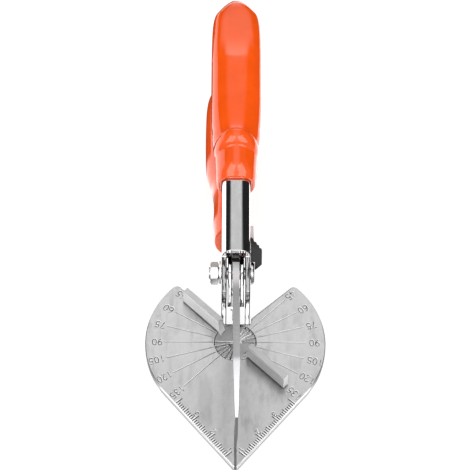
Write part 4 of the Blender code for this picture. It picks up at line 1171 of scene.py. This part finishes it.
@dataclass(frozen=True)
class TableMarks:
    """Etched degree lines, millimetre ruler and their figures, on the table's face.

    Attributes:
        frame: The tool's frame.
        proud: Height of a mark over the face.
        crown: Width of a stroke's top, as a share of its foot.
        line: Width of a degree line.
        lit_line: The same where the lamp lights a line, on the right.
        lit_below: First degree on the right that isn't lit.
        shine: Width of a painted highlight, as a share of its stroke.
        lit_shine: The same beside a lit line.
        mark_shine: The same beside a ruler mark.
        pen: Width of a figure's stroke.
        pen_away: Where the painted highlight of a figure's stroke lies, in steps of its offset.
        mark: Width of a ruler mark.
        mark_away: How far along the edge its painted highlight lies, in steps of that offset.
        burr: How far the painted highlight of each mark lies beside it.
        figure_height: Height of the degree figures.
        degrees: Degree of each line, counted from the handles.
        line_ends: Where each degree line starts and ends, from the fence's axis.
        figures_at: Where its figures start, on the left and on the right.
        ruler_from: Place of the ruler's first mark along the edge, from the tip.
        ruler_marks: How many millimetre marks it has.
        ruler_inset: Bare margin between the edge and the marks.
        ruler_lengths: Lengths of a plain, a fifth and a tenth mark.
        ruler_figures: The figure beside each tenth mark.
        ruler_figure_at: How far a figure starts beyond its mark.
        ruler_figure_height: Height of the ruler's figures.
    """

    frame: PitchedFrame
    proud: float = 0.00003
    crown: float = 0.84
    line: float = 0.0002
    lit_line: float = 0.00012
    lit_below: int = 120
    shine: float = 1.3
    lit_shine: float = 2.7
    mark_shine: float = 0.9
    pen: float = 0.00034
    pen_away: Span = (0.5, 1.0)
    mark: float = 0.00042
    mark_away: float = 1.7
    burr: float = 0.00023
    figure_height: float = 0.0027
    degrees: tuple[int, ...] = (45, 60, 75, 90, 105, 120, 135)
    line_ends: Span = (0.0087, 0.0281)
    figures_at: Span = (0.0290, 0.0295)
    ruler_from: float = 0.0060
    ruler_marks: int = 31
    ruler_inset: float = 0.0001
    ruler_lengths: Triple = (0.0016, 0.0022, 0.0032)
    ruler_figures: str = "123"
    ruler_figure_at: float = 0.0007
    ruler_figure_height: float = 0.0021

    def stroke(self, buffer: MeshBuffer, points: np.ndarray, width: float, rise: float) -> None:
        """Carry a low trapezium along a line on the table's face.

        Each ring stands across the mean direction of the line at its point, with two corners on
        the face and two a little closer together at the mark's height.

        Args:
            buffer: Where the stroke goes.
            points: Its line, as rows of X and Y.
            width: Its width.
            rise: Its height over the face.
        """
        steps = np.diff(points, axis=0)
        steps /= np.linalg.norm(steps, axis=1)[:, None]
        along = np.vstack([steps[:1], steps[:-1] + steps[1:], steps[-1:]])
        along /= np.linalg.norm(along, axis=1)[:, None]
        across = np.stack([-along[:, 1], along[:, 0]], axis=-1)
        offsets = np.array([-1.0, 1.0, self.crown, -self.crown]) * width / 2
        heights = np.array([0.0, 0.0, 1.0, 1.0]) * rise
        flat = points[:, None, :] + across[:, None, :] * offsets[None, :, None]
        tall = np.broadcast_to(heights[None, :, None], (*flat.shape[:2], 1))
        buffer.add_tube(self.frame.to_world(np.concatenate([flat, tall], axis=-1)))

    def engrave(
        self, ink: Ink, points: np.ndarray, width: float, away: np.ndarray, shine: float
    ) -> None:
        """Draw a dark stroke and, a little to one side and lower, the painted highlight of its lit
        flank.

        Args:
            ink: Where both go.
            points: The stroke's line.
            width: Its width.
            away: From the stroke to its painted highlight, in steps of the highlight's offset.
            shine: Width of the painted highlight, as a share of the stroke's.
        """
        self.stroke(ink.dark, points, width, self.proud)
        # The bright stroke is a painted highlight on the mark's lit flank.
        self.stroke(ink.bright, points + away * self.burr, width * shine, self.proud / 2)

    def text(
        self, ink: Ink, words: str, start: np.ndarray, reading: np.ndarray, high: float
    ) -> None:
        """Write figures on the face.

        Args:
            ink: Where the strokes go.
            words: The figures.
            start: Foot of the first figure's left side.
            reading: Direction in which the figures follow each other.
            high: Their height.
        """
        upward, away = leftward(reading), np.array(self.pen_away)
        for index, figure in enumerate(words):
            for stroke in FIGURE_SHARES[figure]:
                flat = (stroke[:, :1] + index * FIGURE_STEP) * reading + stroke[:, 1:] * upward
                self.engrave(ink, start + high * flat, self.pen, away, self.shine)

    @staticmethod
    def directions(angle: float, side: Side) -> tuple[np.ndarray, np.ndarray]:
        """Outward at an angle from the handles on one side, and across it towards them."""
        out = np.array((side.value * math.sin(angle), math.cos(angle)))
        return out, np.array((-side.value * out[1], abs(out[0])))

    def degree_marks(self) -> tuple[Ink, Ink]:
        """Draw the degree lines, and their figures, which read from the handles' side.

        Returns:
            The lines, and the figures.
        """
        lines, figures = Ink(), Ink()
        for side in Side:
            for degree in self.degrees:
                out, rear = self.directions(math.radians(degree), side)
                points = np.stack([out * end for end in self.line_ends])
                lit = side is Side.RIGHT and degree < self.lit_below
                width, shine = (self.lit_line, self.lit_shine) if lit else (self.line, self.shine)
                self.engrave(lines, points, width, rear, shine)
                words, reading = str(degree), out * -side.value
                left, right = self.figures_at
                long = (len(words) - 1) * FIGURE_STEP + FIGURE_WIDTH
                begin = left if side is Side.LEFT else right + long * self.figure_height
                start = out * begin - leftward(reading) * self.figure_height / 2
                self.text(figures, words, start, reading, self.figure_height)
        return lines, figures

    def ruler(self) -> tuple[Ink, Ink]:
        """Draw the millimetre marks along both front edges, and the figure of each tenth.

        Returns:
            The marks, and the figures.
        """
        marks, figures = Ink(), Ink()
        short, fifth, tenth = self.ruler_lengths
        high = self.ruler_figure_height
        for side in Side:
            along, inward = self.directions(FRONT_ANGLE, side)
            origin = np.array((0.0, -TABLE_TIP)) + along * self.ruler_from
            origin = origin + inward * self.ruler_inset
            for index in range(self.ruler_marks):
                long = tenth if index % 10 == 0 else fifth if index % 5 == 0 else short
                foot = origin + along * index * MM
                points = np.stack([foot, foot + inward * long])
                self.engrave(marks, points, self.mark, along * self.mark_away, self.mark_shine)
            for index, figure in enumerate(self.ruler_figures):
                at = origin + along * (10 * index * MM + self.ruler_figure_at)
                at = at + inward * (short + self.mark)
                # On the right the figures read back towards the tip, from their far side.
                left = side is Side.LEFT
                reading = along if left else -along
                start = at if left else at + along * FIGURE_WIDTH * high
                if leftward(reading) @ inward < 0:
                    start = start + inward * high
                self.text(figures, figure, start, reading, high)
        return marks, figures

    def build(self, dark: bpy.types.Material, bright: bpy.types.Material) -> None:
        """Make the marks and their painted highlights; they ride the table's body.

        Args:
            dark: Material of the marks.
            bright: Material of their painted highlights.
        """
        inks = (*self.degree_marks(), *self.ruler())
        names = ("degree_lines", "degree_figures", "ruler_marks", "ruler_figures")
        for ink, name in zip(inks, names, strict=True):
            for buffer, end, material in ((ink.dark, "", dark), (ink.bright, "_burrs", bright)):
                piece = buffer.make(name + end, material)
                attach(piece, "table_jaw")


# ---- grips --------------------------------------------------------------------------------------


@dataclass(frozen=True)
class Grip:
    """A vinyl grip: an outer loft, a rolled lip and a pocket round the frame that it holds.

    Attributes:
        name: The piece's name.
        node: The CAD node that it stands for.
        body: The body that it rides.
        frame: The handle's frame.
        start: Where the lip is along the handle.
        length: Length from the lip to the far end.
        half_width: Greatest half width.
        top: Height of the section over the frame's axis where its share is one.
        bottom: Depth under the axis where its share is one.
        middle: Height of the section's axis in the handle's frame.
        aside: Shift of the grip across the handle.
        shares: Rows of place along, half width, top and bottom, as shares of these sizes, and
            the power of the section's superellipse.
        pocket: Half width, low and high side of the pocket in the handle's frame.
        pocket_depth: How deep the pocket is.
        pocket_power: Squareness of the pocket's upper and lower halves.
        pocket_shares: Depths of its rings, as shares of its depth.
        lip: Radius of the rolled lip.
        lip_rings: Rings of the lip, with its two ends.
        bend: How far the hump's crest runs back towards the lip at the sides.
        bend_shares: First and last place along of what is bent so, as shares of the length.
        bend_ramp_share: Length of each end of the bent stretch over which the bend grows.
        power_weight: Weight of the power in the spacing of the rings, in metres.
        rings: Rings from the lip to the far end.
        around: Points of a ring.
    """

    name: str
    node: str
    body: str
    frame: PitchedFrame
    start: float
    length: float
    half_width: float
    top: float
    bottom: float
    middle: float
    aside: float
    shares: tuple[tuple[float, float, float, float, float], ...]
    pocket: Triple
    pocket_depth: float
    pocket_power: Span
    pocket_shares: tuple[float, ...] = (1.0, 0.7, 0.3, 0.02, 0.0)
    lip: float = 0.0007
    lip_rings: int = 9
    bend: float = 0.0
    bend_shares: Span = (0.10, 0.34)
    bend_ramp_share: float = 0.25
    power_weight: float = 0.01
    rings: int = 220
    around: int = 96

    @staticmethod
    def section(angle: np.ndarray, power: np.ndarray | float) -> tuple[np.ndarray, ...]:
        """Unit superellipse: the cosine and sine to the power of two over the squareness."""
        waves = (np.cos(angle), np.sin(angle))
        return tuple(np.sign(wave) * np.abs(wave) ** (2 / power) for wave in waves)

    def outer_rings(self, angle: np.ndarray) -> np.ndarray:
        """The outer surface: superellipses whose middle, height and width follow the table.

        The top of each point is read a little further along towards the sides, by the bend times
        the square of its share of the half width.

        Args:
            angle: The angles round a section.

        Returns:
            Rings by points by 3, from the lip to the far end.
        """
        sizes = (self.length, self.half_width, self.top, self.bottom, self.power_weight)
        rows = eased_curve(np.array(self.shares) * np.array(sizes), self.rings)
        along, wide, up, down, power = rows.T
        x, z = self.section(angle, power[:, None] / self.power_weight)
        share = along[:, None] / self.length
        first, last = self.bend_shares
        ramp = self.bend_ramp_share * (last - first)
        grown = np.clip((share - first) / ramp, 0, 1) * np.clip((last - share) / ramp, 0, 1)
        top = np.interp(along[:, None] + self.bend * grown * x**2, along, up)
        low = down[:, None]
        return np.stack(
            [
                self.aside + wide[:, None] * x,
                np.broadcast_to(self.start + along[:, None], x.shape),
                self.middle + (top - low) / 2 + (top + low) / 2 * z,
            ],
            axis=-1,
        )

    def pocket_ring(self, angle: np.ndarray) -> np.ndarray:
        """The pocket's section: a superellipse squarer below than above.

        Args:
            angle: The angles round a section.

        Returns:
            Its points, as rows of X and Z.
        """
        half, low, high = self.pocket
        above, below = self.pocket_power
        x, z = self.section(angle, np.where(np.sin(angle) > 0, above, below))
        return np.stack([half * x, (high + low) / 2 + (high - low) / 2 * z], axis=-1)

    def skin(self) -> np.ndarray:
        """Pocket, lip and outer surface as one tube of rings, in the world.

        The lip is a half circle from the pocket's wall to the outer one. All but the far end
        moves back by the lip's radius, in step with the distance from that end, and what would
        lie under the ground is pressed flat.

        Returns:
            Rings by points by 3, from the pocket's bottom to the far end.
        """
        angle = 2 * np.pi * (np.arange(self.around) + 0.5) / self.around
        outer, inner = self.outer_rings(angle), self.pocket_ring(angle)
        turn = np.linspace(np.pi, 0, self.lip_rings)[1:-1, None]
        depths = np.array(self.pocket_shares)[:, None] * self.pocket_depth
        inwards = np.vstack([np.ones_like(depths), (1 - np.cos(turn)) / 2])
        back = np.vstack([depths, -self.lip * np.sin(turn)])
        mouth = outer[0][:, [0, 2]]
        flat = mouth + inwards[:, :, None] * (inner - mouth)
        along = np.broadcast_to(self.start + back, flat.shape[:2])
        skin = np.vstack([np.stack([flat[..., 0], along, flat[..., 1]], axis=-1), outer])
        share = np.clip((skin[:, :, 1] - self.start) / self.length, 0, 1)
        skin[:, :, 1] += self.lip * (1 - share)
        skin = self.frame.to_world(skin)
        skin[:, :, 2] = np.maximum(skin[:, :, 2], 0.0)
        return skin

    def build(self, material: bpy.types.Material) -> None:
        """Make the grip, let it ride its body and stand in for the CAD node.

        Args:
            material: Its material.
        """
        buffer = MeshBuffer()
        buffer.add_tube(self.skin())
        piece = buffer.make(self.name, material)
        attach(piece, self.body)
        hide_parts(self.node)


def upper_grip(frame: PitchedFrame) -> Grip:
    """The upper grip, with its thumb hump behind the collar.

    Args:
        frame: The handle's frame.

    Returns:
        The grip.
    """
    return Grip(
        name="upper_grip_vinyl",
        node="upper_grip",
        body="table_jaw",
        frame=frame,
        start=0.0367,
        length=0.08898,
        half_width=0.0104,
        top=0.0130,
        bottom=0.0094,
        middle=0.0,
        aside=0.0,
        shares=(
            (0.0, 0.75, 0.99, 0.69, 2.35),
            (0.0156, 0.768, 1.062, 0.712, 2.3),
            (0.0368, 0.785, 1.13, 0.742, 2.25),
            (0.0595, 0.796, 1.172, 0.782, 2.2),
            (0.0711, 0.804, 1.182, 0.8, 2.2),
            (0.11, 0.828, 1.21, 0.86, 2.15),
            (0.129, 0.835, 1.226, 0.886, 2.1),
            (0.134, 0.845, 1.232, 0.898, 2.1),
            (0.1365, 0.85, 1.248, 0.905, 2.1),
            (0.1512, 0.868, 1.332, 0.932, 2.1),
            (0.165, 0.882, 1.377, 0.95, 2.1),
            (0.18, 0.898, 1.405, 0.966, 2.15),
            (0.1955, 0.914, 1.414, 0.982, 2.2),
            (0.205, 0.922, 1.4, 0.99, 2.3),
            (0.216, 0.932, 1.29, 0.995, 2.4),
            (0.2255, 0.94, 1.07, 1.0, 2.5),
            (0.235, 0.946, 1.025, 1.002, 2.6),
            (0.262, 0.955, 1.017, 1.005, 2.7),
            (0.3, 0.978, 1.012, 1.0, 2.8),
            (0.4, 1.0, 1.005, 0.935, 2.9),
            (0.52, 1.0, 1.0, 0.91, 2.9),
            (0.6, 1.0, 0.997, 0.94, 3.1),
            (0.612, 1.0, 0.9955, 0.945, 3.2),
            (0.624, 1.0, 0.991, 0.95, 3.3),
            (0.67, 0.995, 0.962, 0.985, 3.5),
            (0.73, 0.989, 0.904, 1.06, 3.6),
            (0.81, 0.965, 0.755, 1.2, 3.5),
            (0.87, 0.9, 0.6, 1.3, 3.3),
            (0.915, 0.69, 0.44, 1.32, 3.1),
            (0.95, 0.478, 0.25, 1.27, 2.9),
            (0.975, 0.3, 0.05, 1.12, 2.7),
            (0.99, 0.26, -0.14, 0.97, 2.5),
            (1.0, 0.02, -0.36, 0.73, 2.4),
        ),
        bend=0.0046,
        pocket=(0.0058, -0.0042, 0.0107),
        pocket_depth=0.0560,
        pocket_power=(3.6, 9.0),
    )


def lower_grip(frame: PitchedFrame) -> Grip:
    """The lower grip, bowed outwards for the fingers.

    Args:
        frame: The handle's frame.

    Returns:
        The grip.
    """
    return Grip(
        name="lower_grip_vinyl",
        node="lower_grip",
        body="blade_jaw",
        frame=frame,
        start=0.0281,
        length=0.0994,
        half_width=0.0115,
        top=0.0100,
        bottom=0.0123,
        middle=-0.0122,
        aside=-0.0012,
        shares=(
            (0.0, 0.635, 0.88, 0.57, 2.3),
            (0.027, 0.65, 0.9, 0.61, 2.3),
            (0.114, 0.687, 0.92, 0.7, 2.4),
            (0.177, 0.67, 0.93, 0.78, 2.4),
            (0.247, 0.687, 0.95, 0.87, 2.3),
            (0.321, 0.757, 0.98, 0.96, 2.2),
            (0.366, 0.86, 0.99, 1.016, 2.1),
            (0.416, 0.948, 1.0, 1.04, 2.05),
            (0.506, 0.99, 1.02, 1.024, 2.05),
            (0.626, 1.0, 1.01, 1.0, 2.05),
            (0.775, 0.99, 0.95, 1.0, 2.05),
            (0.865, 0.948, 0.79, 0.96, 2.1),
            (0.935, 0.81, 0.54, 0.8, 2.2),
            (0.98, 0.557, 0.29, 0.553, 2.2),
            (0.996, 0.27, 0.09, 0.33, 2.2),
            (1.0, 0.01, -0.12, 0.125, 2.2),
        ),
        pocket=(0.0052, -0.0177, -0.0066),
        pocket_depth=0.0820,
        pocket_power=(9.0, 9.0),
    )


# ---- spring -------------------------------------------------------------------------------------


@dataclass(frozen=True)
class ReturnSpring:
    """The return spring as a round wire.

    Attributes:
        wire: Wire diameter.
        curls: How many turns it has, the two closed end turns among them.
        gap: Space left between two closed turns.
        steps: Rings of the wire in a turn.
        around: Points of a ring.
    """

    wire: float = 0.0011
    curls: int = 9
    gap: float = 0.0006
    steps: int = 40
    around: int = 14

    def path(self, low: Vector, high: Vector) -> np.ndarray:
        """A helix that closes up over its first and last turn.

        The angle grows evenly. The height grows by one closed pitch over each end turn, and
        evenly over the turns between them.

        Args:
            low: Lowest corner of the CAD spring's box.
            high: Its highest corner.

        Returns:
            Points of the wire's middle line.
        """
        radius = (high.x - low.x - self.wire) / 2
        middle = (low + high) / 2
        turn = np.linspace(0, self.curls, self.curls * self.steps + 1)
        closed = np.minimum(turn, 1) + np.maximum(turn - (self.curls - 1), 0)
        live = np.clip(turn - 1, 0, self.curls - 2) / (self.curls - 2)
        pitch = self.wire + self.gap
        tall = high.z - low.z - self.wire
        z = low.z + self.wire / 2 + pitch * closed + (tall - 2 * pitch) * live
        angle = 2 * np.pi * turn
        x, y = middle.x + radius * np.cos(angle), middle.y + radius * np.sin(angle)
        return np.stack([x, y, z], axis=-1)

    def rings(self, path: np.ndarray) -> np.ndarray:
        """Circles across the path: its tangent, the way out from the axis, and their product.

        Args:
            path: The wire's middle line.

        Returns:
            Rings by points by 3.
        """
        along = np.gradient(path, axis=0)
        along /= np.linalg.norm(along, axis=1)[:, None]
        out = path - path.mean(axis=0)
        out[:, 2] = 0
        out -= np.sum(out * along, axis=1)[:, None] * along
        out /= np.linalg.norm(out, axis=1)[:, None]
        side = np.cross(along, out)
        angle = np.linspace(0, 2 * np.pi, self.around, endpoint=False)[None, :, None]
        ring = np.cos(angle) * out[:, None] + np.sin(angle) * side[:, None]
        return path[:, None] + ring * self.wire / 2

    def build(self, material: bpy.types.Material) -> None:
        """Make the wire and stand in for the CAD spring.

        Args:
            material: Its material.
        """
        low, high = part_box("return_spring")
        buffer = MeshBuffer()
        buffer.add_tube(self.rings(self.path(low, high)))
        piece = buffer.make("return_spring_wire", material)
        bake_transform(piece)
        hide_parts("return_spring")


# ---- studio -------------------------------------------------------------------------------------


@dataclass(frozen=True)
class Studio:
    """Pale floor, soft overhead light and the camera of the photograph.

    A direction of the world is a unit vector, whose parts across, along and up are compared with
    the spans: each is where a light or a shade begins, and where it is whole. Angles are in
    degrees.

    Attributes:
        frame: The tool's frame, in which the camera stands.
        fill: Strength of the even light on matt surfaces.
        flag: Brightness of the dark flags in glossy reflections.
        strip_scale: Brightness of the softbox where its stop is one.
        strip: Brightness of the softbox by its angle, from the front horizon to the back one.
        strip_side: Angle from the middle plane at its sides.
        strip_wider: How much wider it is behind the zenith.
        strip_wider_at: Where it widens, on the scale of its stops.
        horizon: Lowest upward part with which the softbox's angles are worked out.
        panel: Brightness of the panel low on the left.
        panel_across: The panel's border by the part across.
        panel_up: Its upper border.
        ground: Brightness of the floor in glossy reflections.
        ground_up: The floor's far border.
        ground_drop: How much lower that border is on the right.
        ground_drop_at: Where it drops.
        low_along: Where the low rear hides the panel, by the part along.
        low_up: The same by the part up.
        shade_across: Where the low rear is in shade on the left.
        shade_up: The lower border of that shade.
        room: Brightness of the room in front and beside, which other views reflect.
        room_along: The room's border by the part along.
        room_up: Its lower border.
        room_fade: How much darker it is overhead.
        lamps: Brightness of the two front lamps in glossy reflections.
        lamp_turns: The borders of each, by its angle from the front.
        lamp_heights: The borders of both, by their height.
        lamp_at: Place of the right lamp, which faces the world's zero.
        lamp_size: Side of a lamp.
        lamp_power: Its power.
        floor_size: Length of the floor.
        floor_drop: Depth of the floor under the part.
        camera_at: The camera's place in the tool's frame.
        yaw: Turn of its view from Y.
        pitch: Its dip.
        roll: Its roll.
        focal: Its focal length in millimetres on a 36 mm sensor.
    """

    frame: PitchedFrame
    fill: float = 1.05
    flag: float = 0.02
    strip_scale: float = 4.5
    strip: tuple[Span, ...] = (
        (0.0, 0.2),
        (0.278, 0.533),
        (0.389, 0.413),
        (0.433, 0.413),
        (0.478, 0.333),
        (0.495, 0.163),
        (0.54, 0.167),
        (0.554, 0.96),
        (0.596, 0.8),
        (0.62, 0.44),
        (0.66, 0.38),
        (0.75, 0.32),
        (0.861, 0.147),
        (1.0, 0.267),
    )
    strip_side: Span = (24.0, 6.0)
    strip_wider: float = 1.7
    strip_wider_at: Span = (0.60, 0.66)
    horizon: float = 0.02
    panel: float = 2.185
    panel_across: Span = (-0.5, -0.8)
    panel_up: Span = (0.34, 0.25)
    ground: float = 1.9
    ground_up: Span = (0.03, -0.03)
    ground_drop: float = 0.4
    ground_drop_at: Span = (0.1, 0.4)
    low_along: Span = (0.66, 0.70)
    low_up: Span = (-0.14, -0.24)
    shade_across: Span = (0.1, -0.1)
    shade_up: Span = (-0.80, -0.72)
    room: float = 0.5
    room_along: Span = (0.08, 0.01)
    room_up: Span = (-0.62, -0.45)
    room_fade: float = 0.6
    lamps: float = 4.5
    lamp_turns: tuple[Span, ...] = ((5.0, 12.0), (60.0, 52.0))
    lamp_heights: tuple[Span, ...] = ((12.0, 18.0), (60.0, 52.0))
    lamp_at: Triple = (0.77, -0.65, 0.66)
    lamp_size: float = 0.45
    lamp_power: float = 3.6
    floor_size: float = 6.0
    floor_drop: float = 0.0001
    camera_at: Triple = (-0.0092, -0.3907, 0.6526)
    yaw: float = 1.17
    pitch: float = 55.88
    roll: float = -1.44
    focal: float = 146.84

    def build(self) -> None:
        """Make the world, the lights, the floor and the camera."""
        bpy.context.scene.view_settings.view_transform = "Standard"
        self.build_world()
        self.build_floor()
        self.build_lights()
        self.build_camera()
        log.info("studio ready")

    def build_world(self) -> None:
        """Even light for matt surfaces, and a lit surround that only gloss sees."""
        world = bpy.data.worlds.new("studio_world")
        bpy.context.scene.world = world
        world.use_nodes = True
        world.node_tree.nodes.clear()
        graph = Graph(world.node_tree)
        way = graph.split(graph.read("ShaderNodeTexCoord", output="Generated"))
        flags = self.surround(graph, way)
        strip, box = self.softbox(graph, way)
        gloss = flags + (strip - flags) * box + self.lamps * self.front_lamps(graph, way)
        seen = graph.read("ShaderNodeLightPath", output="Is Glossy Ray")
        strength = gloss * seen + (1.0 - seen) * self.fill
        inputs = {"Color": (1.0, 1.0, 1.0, 1.0), "Strength": strength}
        sky = graph.read("ShaderNodeBackground", inputs=inputs)
        graph.node("ShaderNodeOutputWorld", inputs={"Surface": sky})

    def surround(self, graph: Graph, way: tuple[Signal, ...]) -> Signal:
        """Dark flags, the panel low on the left, the floor below and the room in front.

        Args:
            graph: The world's graph.
            way: The direction's parts across, along and up.

        Returns:
            Their brightness.
        """
        x, y, z = way
        level = z + self.ground_drop * x.within(self.ground_drop_at)
        low = y.within(self.low_along) * z.within(self.low_up)
        shade = low * x.within(self.shade_across) * z.within(self.shade_up)
        room = y.within(self.room_along) * z.within(self.room_up)
        panel = self.panel * x.within(self.panel_across) * z.within(self.panel_up) * (1.0 - low)
        ground = self.ground * level.within(self.ground_up) * (1.0 - shade)
        walls = graph.maths("MAXIMUM", panel, ground) * (1.0 - room)
        return self.flag + walls + self.room * room * (1.0 - self.room_fade * abs(z))

    def softbox(self, graph: Graph, way: tuple[Signal, ...]) -> tuple[Signal, Signal]:
        """A long softbox along Y over the tool.

        Its brightness follows the angle in the plane of Y and Z, whose tangent is the part along
        over the part up. Its sides are told by the part across over the part up.

        Args:
            graph: The world's graph.
            way: The direction's parts across, along and up.

        Returns:
            Its brightness, and its mask.
        """
        x, y, z = way
        height = graph.maths("MAXIMUM", z, self.horizon)
        back = graph.maths("ARCTAN2", y, height) / math.pi + 0.5
        wide = 1.0 + self.strip_wider * back.within(self.strip_wider_at)
        box = (abs(x) / height / wide).rises(*np.tan(np.radians(self.strip_side)))
        ramp = graph.read("ShaderNodeValToRGB", {"stops": self.strip}, {0: back})
        return ramp * self.strip_scale, box

    def front_lamps(self, graph: Graph, way: tuple[Signal, ...]) -> Signal:
        """Mask of two lamps in front.

        The tangent of a lamp's angle from the front is the part across over the part forwards.

        Args:
            graph: The world's graph.
            way: The direction's parts across, along and up.

        Returns:
            The mask.
        """
        x, y, z = way
        turn = graph.maths("ARCTAN2", abs(x), -1.0 * y)
        mask = 1.0
        for turns, heights in zip(self.lamp_turns, self.lamp_heights, strict=True):
            mask = mask * turn.rises(*np.radians(turns)) * z.rises(*np.sin(np.radians(heights)))
        return mask

    def build_floor(self) -> None:
        """A flat floor just under the part, made of a grid of two by two points."""
        half = self.floor_size / 2
        span = np.array([-half, half])
        x, y = np.meshgrid(span, span)
        points = np.stack([x, y, np.full_like(x, -self.floor_drop)], axis=-1).reshape(-1, 3)
        mesh = bpy.data.meshes.new("floor")
        mesh.from_pydata(points.tolist(), [], [(0, 1, 3, 2)])
        floor = linked("floor", mesh)
        dress(floor, FloorPaint("floor_paint", (0.26, 0.26, 0.26), 0.9).material())
        floor.visible_glossy = False

    def build_lights(self) -> None:
        """Two small soft lamps in front, which glossy rays don't see."""
        for name, side in (("lamp_left", -1), ("lamp_right", 1)):
            lamp = bpy.data.lights.new(name, "AREA")
            lamp.shape = "SQUARE"
            lamp.size = self.lamp_size
            lamp.energy = self.lamp_power
            made = linked(name, lamp)
            made.location = np.array(self.lamp_at) * (side, 1, 1)
            made.visible_glossy = False
            made.rotation_euler = (-made.location).to_track_quat("-Z", "Y").to_euler()

    def build_camera(self) -> None:
        """Stand the camera where the photograph was taken from."""
        yaw, pitch, roll = (math.radians(value) for value in (self.yaw, self.pitch, self.roll))
        forward = Vector(
            (math.sin(yaw) * math.cos(pitch), math.cos(yaw) * math.cos(pitch), -math.sin(pitch))
        )
        right = Vector((math.cos(yaw), -math.sin(yaw), 0))
        down = forward.cross(right)
        level = math.cos(roll) * right + math.sin(roll) * down
        drop = -math.sin(roll) * right + math.cos(roll) * down
        turn = Matrix((level, -drop, -forward)).transposed().to_4x4()
        lens = bpy.data.cameras.new("camera")
        lens.lens = self.focal
        camera = linked("camera", lens)
        at = Matrix.Translation(Vector(self.camera_at))
        camera.matrix_world = self.frame.matrix() @ at @ turn
        bpy.context.scene.camera = camera


# ---- the whole tool -----------------------------------------------------------------------------


class Slot(Enum):
    """The record's material slots."""

    CHROME = "chromed_steel"
    PLATE = "ground_steel"
    FENCE = "fence_steel"
    BLADE = "blade_steel"
    ZINC = "zinc_steel"
    SPRING = "spring_steel"
    GRIP = "orange_grip"
    CAP = "black_cap"


def slot_materials(frame: PitchedFrame) -> dict[Slot, bpy.types.Material]:
    """Make the material of each slot but the chromed one, whose nodes differ.

    Args:
        frame: The tool's frame.

    Returns:
        The materials by slot.
    """
    made = {
        Slot.PLATE: GroundPlate("ground_plate", (0.375, 0.375, 0.375), 0.40, frame=frame),
        Slot.FENCE: BlastedSteel("blasted_steel", (0.32, 0.32, 0.32), 0.42, 0.7, frame=frame),
        Slot.BLADE: HonedSteel("honed_steel", (0.34, 0.34, 0.345), 0.2, 0.8, frame=frame),
        Slot.ZINC: ZincPlate("zinc_plate", (0.74, 0.74, 0.73), 0.22),
        Slot.SPRING: SpringWire("spring_wire", (0.40, 0.40, 0.42), 0.35),
        Slot.GRIP: GripVinyl("grip_vinyl", (0.74, 0.076, 0.003), 0.10),
        Slot.CAP: CapPlastic("cap_plastic", (0.005, 0.005, 0.0054), 0.5),
    }
    return {slot: finish.material() for slot, finish in made.items()}


def chromed_materials(frames: ToolFrames) -> dict[str, bpy.types.Material]:
    """Make the material of each node of the chromed slot.

    Args:
        frames: The tool's frames.

    Returns:
        The materials by the node's name.
    """
    # The channel takes painted shade inside, and painted dark reflections on its cheeks' narrow
    # edges.
    channel = ChromePlate("channel_plate", CHROME, 0.06, handle=frames.upper_handle)
    # The ears take the same painted dark reflections on their narrow edges.
    ears = replace(
        channel,
        name="ear_plate",
        handle=frames.lower_handle,
        inside=(-1.0, 0.0),
        cheek=(1.65, 3.25),
    )
    bolt = ChromePlate("bolt_plate", (0.40, 0.40, 0.40), 0.22, edge=0.0003, depth=0.00005)
    bolt_material = bolt.material()
    return {
        "upper_frame": channel.material(),
        "lower_frame": ears.material(),
        "pivot_nut": bolt_material,
        "pivot_bolt": bolt_material,
    }


def dress_nodes(
    frame: dict, slots: dict[Slot, bpy.types.Material], chromed: dict[str, bpy.types.Material]
) -> None:
    """Smooth every CAD node's turns and give it its material; its mesh stays as it is.

    Args:
        slots: The material of each slot.
        chromed: The materials of the chromed nodes.
    """
    group = smoothing_group()
    for row in frame["record"]["subparts"]:
        name, slot = row["node"], Slot(row["material_slot"])
        node = frame["nodes"][name]
        node.modifiers.new("smooth_turns", "NODES").node_group = group
        node.modifiers.new("even_faces", "WEIGHTED_NORMAL").keep_sharp = True
        dress(node, chromed[name] if slot is Slot.CHROME else slots[slot])
        log.info("node %s wears %s", name, slot.value)


def main() -> None:
    """Load the frame, dress it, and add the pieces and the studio."""
    logging.basicConfig(level=logging.INFO, format="%(message)s")
    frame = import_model()
    frames = ToolFrames(frame["joints"])
    slots = slot_materials(frames.table)
    dress_nodes(frame, slots, chromed_materials(frames))
    dark = EtchedMark("etched_mark", (0.020, 0.020, 0.022), 0.55).material()
    # The bright strokes are a painted highlight on each mark's lit flank.
    bright = EtchedMark("mark_highlight", (0.85, 0.85, 0.86), 0.5).material()
    TableMarks(frames.table).build(dark, bright)
    upper_grip(frames.upper_handle).build(slots[Slot.GRIP])
    lower_grip(frames.lower_handle).build(slots[Slot.GRIP])
    ReturnSpring().build(slots[Slot.SPRING])
    Studio(frames.table).build()


if __name__ == "__main__":
    main()
